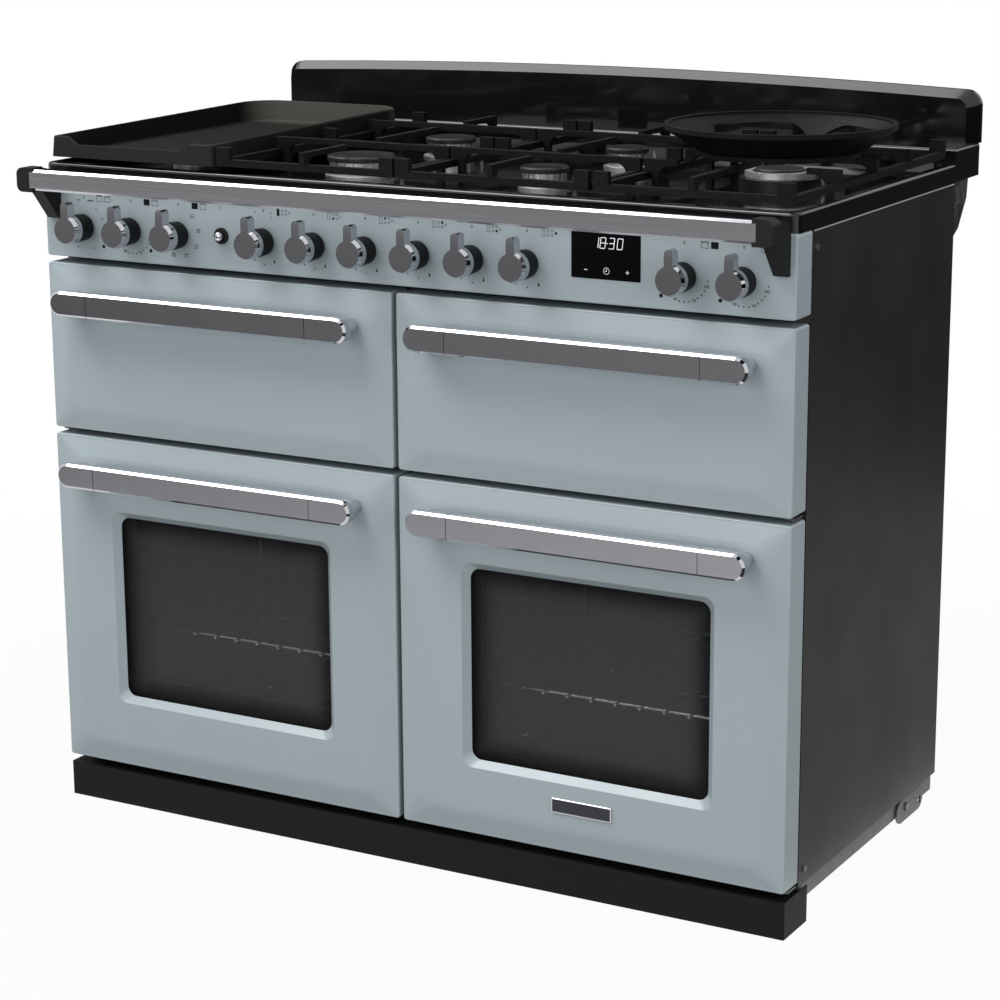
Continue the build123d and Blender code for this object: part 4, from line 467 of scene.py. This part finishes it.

# Oven windows: two panes of toughened glass in each door. Their grey veil is a painted reflection of the
# room.
# Their border is black at the very edge, as printed, and fades out towards the middle of the pane as
# painted shade of the recessed reveal.
WINDOW_MIDDLE = (0.2742, 0.289)
WINDOW_HALF = (0.167, 0.127)
BORDER_SHADE_FADE = (-0.030, -0.004)
REFLECTION_VEIL, BORDER_PRINT_AND_SHADE = (0.088, 0.087, 0.094), (0.004, 0.004, 0.004)
PANE_VEIL = 0.2
panes, surface = finish("veiled_glass", 0.04, specular=0.14)
surface.inputs["Alpha"].default_value = PANE_VEIL
tree = surface.id_data


def arithmetic(tree, operation, first, second):
    """One step of arithmetic between two outputs, or between an output and a number."""
    step = tree.nodes.new("ShaderNodeMath")
    step.operation = operation
    tree.links.new(first, step.inputs[0])
    if isinstance(second, float):
        step.inputs[1].default_value = second
    else:
        tree.links.new(second, step.inputs[1])
    return step.outputs["Value"]


def own_axes(tree):
    """The piece's own coordinates, one output for each axis."""
    place = tree.nodes.new("ShaderNodeTexCoord")
    split = tree.nodes.new("ShaderNodeSeparateXYZ")
    tree.links.new(place.outputs["Object"], split.inputs["Vector"])
    return split.outputs["X"], split.outputs["Y"], split.outputs["Z"]


x_axis, _, z_axis = own_axes(tree)
side = arithmetic(tree, "SUBTRACT", arithmetic(tree, "ABSOLUTE", x_axis, 0.0), WINDOW_MIDDLE[0])
beside = arithmetic(tree, "SUBTRACT", arithmetic(tree, "ABSOLUTE", side, 0.0), WINDOW_HALF[0])
rise = arithmetic(tree, "SUBTRACT", z_axis, WINDOW_MIDDLE[1])
beyond = arithmetic(tree, "SUBTRACT", arithmetic(tree, "ABSOLUTE", rise, 0.0), WINDOW_HALF[1])
# Painted light: the grey veil stands in for the mirrored room, the darkening towards the border for the
# reveal's shade.
border_print_and_shade = spread(surface, arithmetic(tree, "MAXIMUM", beside, beyond), 0.0, 1.0, *BORDER_SHADE_FADE)
feed(surface, Base_Color=shades(surface, border_print_and_shade, REFLECTION_VEIL, BORDER_PRINT_AND_SHADE),
     Roughness=spread(surface, grain(surface, 20), 0.037, 0.043))
dress(panes, "left_door_glazing", "right_door_glazing")

# Door and drawer handles: a chromed bar between two end pieces, screwed on from behind through the door.
# The plating mirrors the room; polishing has left it very slightly uneven.
CHROME = ((0.538, 0.541, 0.572), (0.566, 0.569, 0.602))
chrome, surface = finish("polished_chrome", 0.06, 1.0)
buffed = grain(surface, 25, 3.0)
feed(surface, Base_Color=shades(surface, buffed, *CHROME), Roughness=spread(surface, buffed, 0.045, 0.085))
dress(chrome, "left_door_handle", "right_door_handle", "grill_door_handle", "drawer_handle")

# Plate on the right oven door: a small bare oblong of dark enamel, set a little below the edge of its
# chromed rim.
PLATE_MIDDLE = (0.2706, 0.1235)
PLATE_SIZE = (0.085, 0.0193)
PLATE_CORNER = 0.0012
RIM_WIDTH, RIM_PROUD, FACE_SUNK = 0.0020, 0.0022, 0.0008
door_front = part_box("right_door_panel")[0][1]


def rimmed(name, steps):
    """Rings round the plate: each step sets a rounded oblong in by so much and forward by so much."""
    inset, forth = np.array(steps).T[:, :, None]
    quarter = np.linspace(0, math.pi / 2, 6)
    angle = np.concatenate([quarter + turn * math.pi / 2 for turn in range(4)])
    east, north = np.repeat([[1, -1, -1, 1], [1, 1, -1, -1]], quarter.size, axis=1)
    corner = np.maximum(PLATE_CORNER - inset, 0.0)
    x = PLATE_MIDDLE[0] + east * (PLATE_SIZE[0] / 2 - inset - corner) + corner * np.cos(angle)
    z = PLATE_MIDDLE[1] + north * (PLATE_SIZE[1] / 2 - inset - corner) + corner * np.sin(angle)
    corners = np.stack((x, np.broadcast_to(door_front - forth, x.shape), z), -1)
    index = np.arange(x.size).reshape(x.shape)
    return skin(name, corners, quads_of(np.hstack((index, index[:, :1]))), smooth=False)


RIM_STEPS = ((0, 0), (0, 0.0017), (0.0004, RIM_PROUD), (0.0015, RIM_PROUD), (RIM_WIDTH, FACE_SUNK))
FACE_STEPS = ((RIM_WIDTH - 0.0002, FACE_SUNK), (0.004, 0.0011), (PLATE_SIZE[1] / 2, 0.0011))
rim = rimmed("plate_rim", RIM_STEPS)
rim.data.materials.append(chrome)
plate = rimmed("plate_face", FACE_STEPS)
NAVY = ((0.014, 0.015, 0.024), (0.019, 0.020, 0.031))
navy, surface = finish("navy_enamel", 0.25, specular=0.4)
feed(surface, Base_Color=shades(surface, grain(surface, 300), *NAVY),
     Normal=relief(surface, grain(surface, 500), 0.00002))
plate.data.materials.append(navy)
for piece in (rim, plate):
    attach(piece, "right_oven_door")

# Taps, gas rail, switches and thermostats behind the panel: brass valves on a drawn tube, and black
# moulded switch bodies with their bezels.
BRASS = ((0.50, 0.36, 0.15), (0.64, 0.48, 0.22))
brass, surface = finish("turned_brass", 0.3, 1.0)
tarnish = grain(surface, 60, 4.0)
feed(surface, Base_Color=shades(surface, tarnish, *BRASS), Roughness=spread(surface, tarnish, 0.22, 0.42))
dress(brass, "gas_rail")
dress(moulding, "oven_switches")

# Print on the control panel: dark stove ink, screened on before the paint is cured. Each knob has an off
# mark above it and the marks of its own job round it, drawn in millimetres from the knob's axis.
PANEL_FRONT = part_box("control_panel")[0][1] * 1000
INK_STANDS = 0.08
LINE, THIN = 0.75, 0.6
KNOB_RADIUS, SCALE_RADIUS, BIG_DOT = 19.0, 30.8, 2.5
OVEN_SIGNS, OVEN_UP, OVEN_TOP, OVEN_SIZE = (25.6, 38.6), 38.6, 41.0, (9.6, 8.2)
HOB_GRIDDLE = (22.2, 38.7, 4.2, 9.4)
HOB_BURNERS = ((28.6, 36.0), (28.6, 41.4), (34.0, 41.4), (34.0, 36.0), (39.0, 38.7))
JOB_BOXES = ((20.8, 25.2), (30.2, 6.3), (26.3, -14.4), (9.7, -27.1), (-10.2, -27.4))
LAMP_X, LAMP_Z, LAMP_FOOT_Z = -259.4, 852.0, 848.0


def ink_disc(x, z, radius):
    """Disc from a square: each way is drawn in by the root of one less half the square of the other."""
    u, v = np.meshgrid(np.linspace(-1, 1, 7), np.linspace(-1, 1, 7))
    return x + radius * u * np.sqrt(1 - v * v / 2), z + radius * v * np.sqrt(1 - u * u / 2)


def ink_flame(x, z, radius):
    """Drop: a disc drawn up to twice its height and narrowed evenly towards its top."""
    across, up = ink_disc(0.0, 0.0, 1.0)
    return x + radius * across * (0.75 - 0.25 * up), z + radius * (up + 0.35 * (1 + up) ** 2 - 0.5)


def ink_ring(x, z, half_wide, half_high, line=LINE):
    """Oval ring: two ovals about one centre, a line's width apart."""
    turn = np.linspace(0, 2 * math.pi, 29)
    inset = np.array([[0.0], [line]])
    return x + (half_wide - inset) * np.cos(turn), z + (half_high - inset) * np.sin(turn)


def ink_bar(x, z, wide, high, lean=0.0):
    """Filled oblong, sheared sideways by the lean for each unit of its height."""
    u, v = np.meshgrid([-0.5, 0.5], [-0.5, 0.5])
    return x + wide * u + lean * high * v, z + high * v


def ink_frame(x, z, wide, high, line=LINE):
    """Outline oblong: two oblongs about one centre, a line's width apart, through their corners in turn."""
    u, v = np.array([[-1, 1, 1, -1, -1], [-1, -1, 1, 1, -1]]) / 2
    inset = np.array([[0.0], [2 * line]])
    return x + (wide - inset) * u, z + (high - inset) * v


def figures(text, x, z, wide, high, pitch, line, lean):
    """Row of numbers: each is the bars of a seven-bar figure that it lights, leaning by the given slope."""
    bars = {"a": (0, 0.5), "b": (0.5, 0.25), "c": (0.5, -0.25), "d": (0, -0.5), "e": (-0.5, -0.25),
            "f": (-0.5, 0.25), "g": (0, 0)}
    lit = {"0": "abcdef", "1": "bc", "2": "abged", "3": "abcdg", "5": "afgcd", "8": "abcdefg"}
    marks = []
    for place, figure in enumerate(text):
        middle = x + (place - (len(text) - 1) / 2) * pitch
        for bar in lit.get(figure, ""):
            over, up = bars[bar]
            size = (wide - line * 0.4, line) if bar in "adg" else (line, high / 2 - line * 0.4)
            marks.append(ink_bar(middle + over * wide + lean * up * high, z + up * high, *size, lean))
    return marks


def printed(name, marks, depth):
    """All marks of one print as one mesh at one depth: corners and quads stacked, made metres here."""
    starts = np.cumsum([0] + [across.size for across, up in marks])
    quads = [quads_of(np.arange(a.size).reshape(a.shape) + start) for (a, up), start in zip(marks, starts)]
    corners = [np.stack((a, np.full(a.shape, depth), up), -1).reshape(-1, 3) for a, up in marks]
    return skin(name, np.vstack(corners) / 1000, np.vstack(quads), smooth=False)


def moved(marks, x, z):
    """The same marks carried over by so much across and up."""
    return [(across + x, up + z) for across, up in marks]


def round_scale(radius, angles, size):
    """Dots of one size on a circle at the given angles, in degrees from the right."""
    turns = np.radians(angles)
    return [ink_disc(radius * math.cos(turn), radius * math.sin(turn), size) for turn in turns]


def oven_sign(filled):
    """Two ovens side by side in outline, each with a line for its top; the one that is meant is filled."""
    boxes = []
    for place, middle in enumerate(OVEN_SIGNS):
        oven = (middle, OVEN_UP, *OVEN_SIZE)
        boxes.append(ink_bar(*oven) if place == filled else ink_frame(*oven, THIN))
        boxes.append(ink_bar(middle, OVEN_TOP, OVEN_SIZE[0], THIN))
    return boxes


def hob_sign(filled):
    """Plan of the hob: the griddle as an upright oblong, four burners and the wok burner; one is filled."""
    signs = [ink_bar(*HOB_GRIDDLE) if filled is None else ink_frame(*HOB_GRIDDLE, THIN)]
    return signs + [
        ink_disc(x, z, 1.7) if place == filled else ink_ring(x, z, 1.6, 1.6, 0.55)
        for place, (x, z) in enumerate(HOB_BURNERS)
    ]


def heat_scale():
    """Oven heat round the lower right: three numbers with three dots between each two."""
    between = np.linspace(-114, -20, 9)[[1, 2, 3, 5, 6, 7]]
    marks = round_scale(SCALE_RADIUS, (*between, -8.0), 1.0)
    for text, angle in (("100", -114), ("150", -67), ("200", -20)):
        turn = math.radians(angle)
        x, z = SCALE_RADIUS * math.cos(turn), SCALE_RADIUS * math.sin(turn)
        marks += figures(text, x, z, 1.3, 2.8, 2.3, THIN, 0.0)
    return marks


off = [ink_ring(-0.7, 39.3, 1.35, 1.9, 0.65)]
flames = [ink_flame(-16.4, -25.4, 1.1), ink_disc(-0.6, -30.0, 0.95), ink_flame(15.0, -25.4, 1.5)]
grill = [
    ink_bar(25.2, 43.0, 9.6, 2.4), ink_frame(25.2, 38.4, 9.6, 7.6, THIN),
    ink_frame(38.4, 38.8, *OVEN_SIZE, THIN), ink_bar(38.4, 41.2, 9.6, THIN),
    ink_bar(-11.6, 35.2, 2.0, THIN), ink_bar(-8.4, 35.0, 3.4, 1.3), ink_bar(10.2, 35.1, 10.0, 1.4),
]
grill += round_scale(SCALE_RADIUS, (52, 22, -19, -66, -116), 1.05)
jobs = [ink_frame(x, z, 5.6, 4.8, 0.65) for x, z in JOB_BOXES]
jobs += [
    ink_bar(20.8, 24.4, 3.0, THIN), ink_disc(30.2, 6.3, 1.1), ink_bar(26.3, -14.4, THIN, 2.8),
    ink_bar(9.7, -26.0, 3.2, THIN), ink_bar(-10.2, -28.4, 3.2, THIN), ink_bar(-10.2, -26.4, 3.2, THIN),
]
low_dots = [ink_disc(-13.9, 36.7, 0.9), ink_disc(11.3, 36.8, 0.9), ink_disc(11.2, 31.3, 0.9)]
around_knob = [
    off + grill + [ink_disc(29.3, -24.8, BIG_DOT)],
    off + oven_sign(0) + heat_scale() + [ink_disc(29.7, -25.0, BIG_DOT)],
    off + oven_sign(0) + jobs,
    off + low_dots + hob_sign(None) + flames,
    *[off + hob_sign(burner) + flames for burner in range(len(HOB_BURNERS))],
    off + oven_sign(1) + heat_scale() + [ink_disc(-30.4, -25.7, BIG_DOT)],
    off + oven_sign(1) + heat_scale() + [ink_disc(-30.3, -25.5, BIG_DOT)],
]
marks = [ink_ring(LAMP_X, LAMP_Z, 2.7, 2.7, 0.35), ink_frame(LAMP_X, LAMP_FOOT_Z, 2.2, 2.4, 0.3)]
for number, signs in enumerate(around_knob, start=1):
    low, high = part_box(f"knob_{number:02d}")
    marks += moved(signs, (low[0] + high[0]) * 500, low[2] * 1000 + KNOB_RADIUS)
ink_marks = printed("panel_print", marks, PANEL_FRONT - INK_STANDS)
STOVE_INK = ((0.004, 0.005, 0.007), (0.009, 0.011, 0.014))
stove_ink, surface = finish("stove_ink", 0.6, specular=0.08)
feed(surface, Base_Color=shades(surface, grain(surface, 700), *STOVE_INK))
ink_marks.data.materials.append(stove_ink)
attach(ink_marks, "cabinet")

# Clock: a block with a black glass front, let into the panel. Behind the glass shine the time and, below
# it, the minus, clock and plus signs of its touch keys.
CLOCK_AT = (298.5, 826.5)
DIGITS_UP, DIGIT_SIZE, DIGIT_LINE, DIGIT_LEAN = 15.6, (6.8, 12.8), 0.85, 0.13
SIGNS_UP, FIGURES_STAND = -17.9, 0.06
BLACK_GLASS = ((0.003, 0.003, 0.0032), (0.0042, 0.0042, 0.0045))
GLOW, GLOW_STRENGTH = (0.86, 0.88, 0.90, 1.0), 0.55
FIGURE_WHITE = ((0.50, 0.51, 0.52), (0.60, 0.61, 0.62))
clock_glass, surface = finish("clock_glass", 0.05, specular=0.03)
feed(surface, Base_Color=shades(surface, grain(surface, 60), *BLACK_GLASS),
     Roughness=spread(surface, grain(surface, 25), 0.04, 0.07))
dress(clock_glass, "clock_display")
lit = []
for text, middle, pitch in (("18", -8.4, 9.4), ("30", 13.6, 11.2)):
    lit += figures(text, middle, DIGITS_UP, *DIGIT_SIZE, pitch, DIGIT_LINE, DIGIT_LEAN)
lit += [ink_disc(1.9, 15.4, 0.8)] + moved([
    ink_bar(-26.6, 0.0, 4.6, 0.7), ink_bar(29.1, 0.0, 4.6, THIN), ink_bar(29.1, 0.0, THIN, 4.6),
    ink_ring(1.1, 0.0, 4.1, 4.1, 0.42), ink_bar(1.1, 1.1, THIN, 2.6), ink_bar(0.1, -0.3, 2.4, THIN, 0.6),
], 0.0, SIGNS_UP)
figures_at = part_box("clock_display")[0][1] * 1000 - FIGURES_STAND
figures_lit = printed("clock_figures", moved(lit, *CLOCK_AT), figures_at)
lamp_white, surface = finish("lit_figures", 0.5, specular=0.2)
surface.inputs["Emission Color"].default_value = GLOW
surface.inputs["Emission Strength"].default_value = GLOW_STRENGTH
feed(surface, Base_Color=shades(surface, grain(surface, 900), *FIGURE_WHITE))
figures_lit.data.materials.append(lamp_white)
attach(figures_lit, "cabinet")

# Knobs: a die-cast cap with a pointer tab, chromed, on a black moulded skirt that hides the spindle.
# One finish serves both, changing over at the depth where the cap sits on the skirt.
CAP_BACK = -0.303
SKIRT = (0.004, 0.004, 0.0045)
knob_finish, surface = finish("knob_chrome_and_skirt", 0.06, specular=0.12)
tree = surface.id_data
skirt = arithmetic(tree, "GREATER_THAN", own_axes(tree)[1], CAP_BACK)
plating = shades(surface, grain(surface, 30), *CHROME)
feed(surface, Base_Color=shades(surface, skirt, plating, SKIRT),
     Metallic=spread(surface, skirt, 1.0, 0.0, 0.0, 1.0),
     Roughness=spread(surface, skirt, 0.06, 0.5, 0.0, 1.0))
dress(knob_finish, *[f"knob_{number:02d}" for number in range(1, 12)])
dress(chrome, "light_button")

# Handrail: an oblong steel bar, brushed along its length so that what it mirrors is drawn out, and held
# clear of the panel by two black moulded brackets.
RAIL = ((0.495, 0.498, 0.524), (0.555, 0.558, 0.585))
rail, surface = finish("brushed_bar", 0.14, 1.0)
brush = grain(surface, 900, 2.0, (0.006, 1.0, 1.0))
feed(surface, Base_Color=shades(surface, brush, *RAIL), Roughness=spread(surface, brush, 0.10, 0.18))
dress(rail, "handrail")
dress(moulding, "handrail_brackets")

# Hob tray and splashback: pressed steel in gloss black enamel, the splashback with a bevelled top edge.
# The enamel flows a little in the kiln, so what it mirrors wavers.
GLOSS = ((0.0035, 0.0035, 0.0035), (0.0055, 0.0055, 0.0055))
gloss, surface = finish("gloss_black_enamel", 0.08)
feed(surface, Base_Color=shades(surface, grain(surface, 35), *GLOSS),
     Roughness=spread(surface, grain(surface, 16), 0.05, 0.12),
     Normal=relief(surface, grain(surface, 13), 0.00025))
dress(gloss, "hob_tray", "splashback")

# Burners: die-cast alloy bodies with sawn flame ports, under loose caps of matt black enamel.
# The wok burner's body is sooted. Each burner has a spark pin beside it, a tip in a sooted ceramic sleeve.
ALLOY = ((0.50, 0.50, 0.495), (0.66, 0.66, 0.65))
SOOT, SOOT_BEYOND, SOOT_BELOW = (0.035, 0.035, 0.036), 0.35, 0.8985
alloy, surface = finish("cast_alloy", 0.34, 1.0)
cast_skin = grain(surface, 240, 3.0)
tree = surface.id_data
x_axis, _, z_axis = own_axes(tree)
beyond = arithmetic(tree, "GREATER_THAN", x_axis, SOOT_BEYOND)
sooted = arithmetic(tree, "MULTIPLY", beyond, arithmetic(tree, "LESS_THAN", z_axis, SOOT_BELOW))
body = shades(surface, cast_skin, *ALLOY)
feed(surface, Base_Color=shades(surface, sooted, body, SOOT),
     Roughness=spread(surface, cast_skin, 0.28, 0.46),
     Normal=relief(surface, cast_skin, 0.00006))
dress(alloy, "burner_bodies")
CAP = ((0.010, 0.010, 0.0095), (0.016, 0.016, 0.015))
cap_enamel, surface = finish("cap_enamel", 0.35, specular=0.3)
feed(surface, Base_Color=shades(surface, grain(surface, 400), *CAP),
     Normal=relief(surface, grain(surface, 260), 0.00004))
dress(cap_enamel, "burner_caps")

BURNERS = np.array([
    (-136, -126, 48), (-136, 105, 38), (136, -126, 34), (136, 105, 32), (407, -10.5, 51),
]) / 1000
PIN_CLEAR, PIN_ANGLE = 0.0045, math.radians(38)
SLEEVE = np.array([
    (0, 881), (2.6, 881), (2.6, 893), (2.0, 895), (2.0, 897.5), (0.9, 898.5), (0.9, 901.5), (0, 902),
]) / 1000


def spark_pins(name, profile):
    """Turned pins: a profile of radius and height spun about an upright axis beside each burner's skirt."""
    angle = np.linspace(0, 2 * math.pi, 17)
    out = BURNERS[:, 2] + PIN_CLEAR
    axis = BURNERS[:, :2] + out[:, None] * np.array([math.cos(PIN_ANGLE), math.sin(PIN_ANGLE)])
    x = axis[:, 0, None, None] + profile[None, :, None, 0] * np.cos(angle)
    y = axis[:, 1, None, None] + profile[None, :, None, 0] * np.sin(angle)
    z = np.broadcast_to(profile[None, :, None, 1], x.shape)
    index = np.arange(x.size).reshape(x.shape)
    quads = np.vstack([quads_of(pin.T) for pin in index])
    return skin(name, np.stack((x, y, z), -1), quads)


sleeves = spark_pins("spark_pins", SLEEVE)
CERAMIC = ((0.26, 0.255, 0.24), (0.36, 0.352, 0.335))
ceramic, surface = finish("sooted_ceramic", 0.4)
feed(surface, Base_Color=shades(surface, grain(surface, 300), *CERAMIC))
sleeves.data.materials.append(ceramic)
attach(sleeves, "cabinet")

# Pan supports, wok ring and griddle: sand-cast iron, shot-blasted and coated in dull black enamel.
# The casting's grain shows through, paler on its peaks, and rubs to a sheen where pans slide. The griddle's
# coat is dark. Its front is painted paler, and its rear wall paler and browner still: painted light and
# sheen where those walls face the lamps.
IRON = ((0.0016, 0.0016, 0.0016), (0.022, 0.018, 0.014))
iron, surface = finish("cast_iron", 0.55, specular=0.13)
sand = grain(surface, 520, 3.0)
feed(surface, Base_Color=shades(surface, spread(surface, sand, 0.0, 1.0, 0.56, 0.78), *IRON),
     Roughness=spread(surface, sand, 0.62, 0.42), Normal=relief(surface, sand, 0.00028))
dress(iron, "pan_supports", "wok_ring")
# Painted light: the griddle's front and rear zones are paler than its floor, where its walls catch light.
FRONT_PAINTED_LIGHT = ((0.012, 0.0118, 0.0112), (0.019, 0.0185, 0.0175))
COAT_MIDDLE, REAR_PAINTED_LIGHT = (0.0065, 0.0065, 0.0062), (0.066, 0.062, 0.054)
FRONT_LIGHT_ZONE, REAR_LIGHT_ZONE, FLOOR_ZONE = (0.035, 0.06), (0.06, 0.02), (0.006, 0.012)
griddle_low, griddle_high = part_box("griddle")
coat, surface = finish("griddle_coat", 0.5, specular=0.06)
skin_grain = grain(surface, 700, 2.0)
_, y_axis, z_axis = own_axes(surface.id_data)
past_front_light = spread(surface, y_axis, 0.0, 1.0, *[griddle_low[1] + step for step in FRONT_LIGHT_ZONE])
rear_light_mask = spread(surface, y_axis, 0.0, 1.0, *[griddle_high[1] - step for step in REAR_LIGHT_ZONE])
upward = spread(surface, z_axis, 0.0, 1.0, *[griddle_low[2] + step for step in FLOOR_ZONE])
tone = shades(surface, past_front_light, shades(surface, skin_grain, *FRONT_PAINTED_LIGHT), COAT_MIDDLE)
tone = shades(surface, upward, COAT_MIDDLE, shades(surface, rear_light_mask, tone, REAR_PAINTED_LIGHT))
feed(surface, Base_Color=tone, Roughness=spread(surface, skin_grain, 0.44, 0.56),
     Normal=relief(surface, skin_grain, 0.00005))
dress(coat, "griddle")
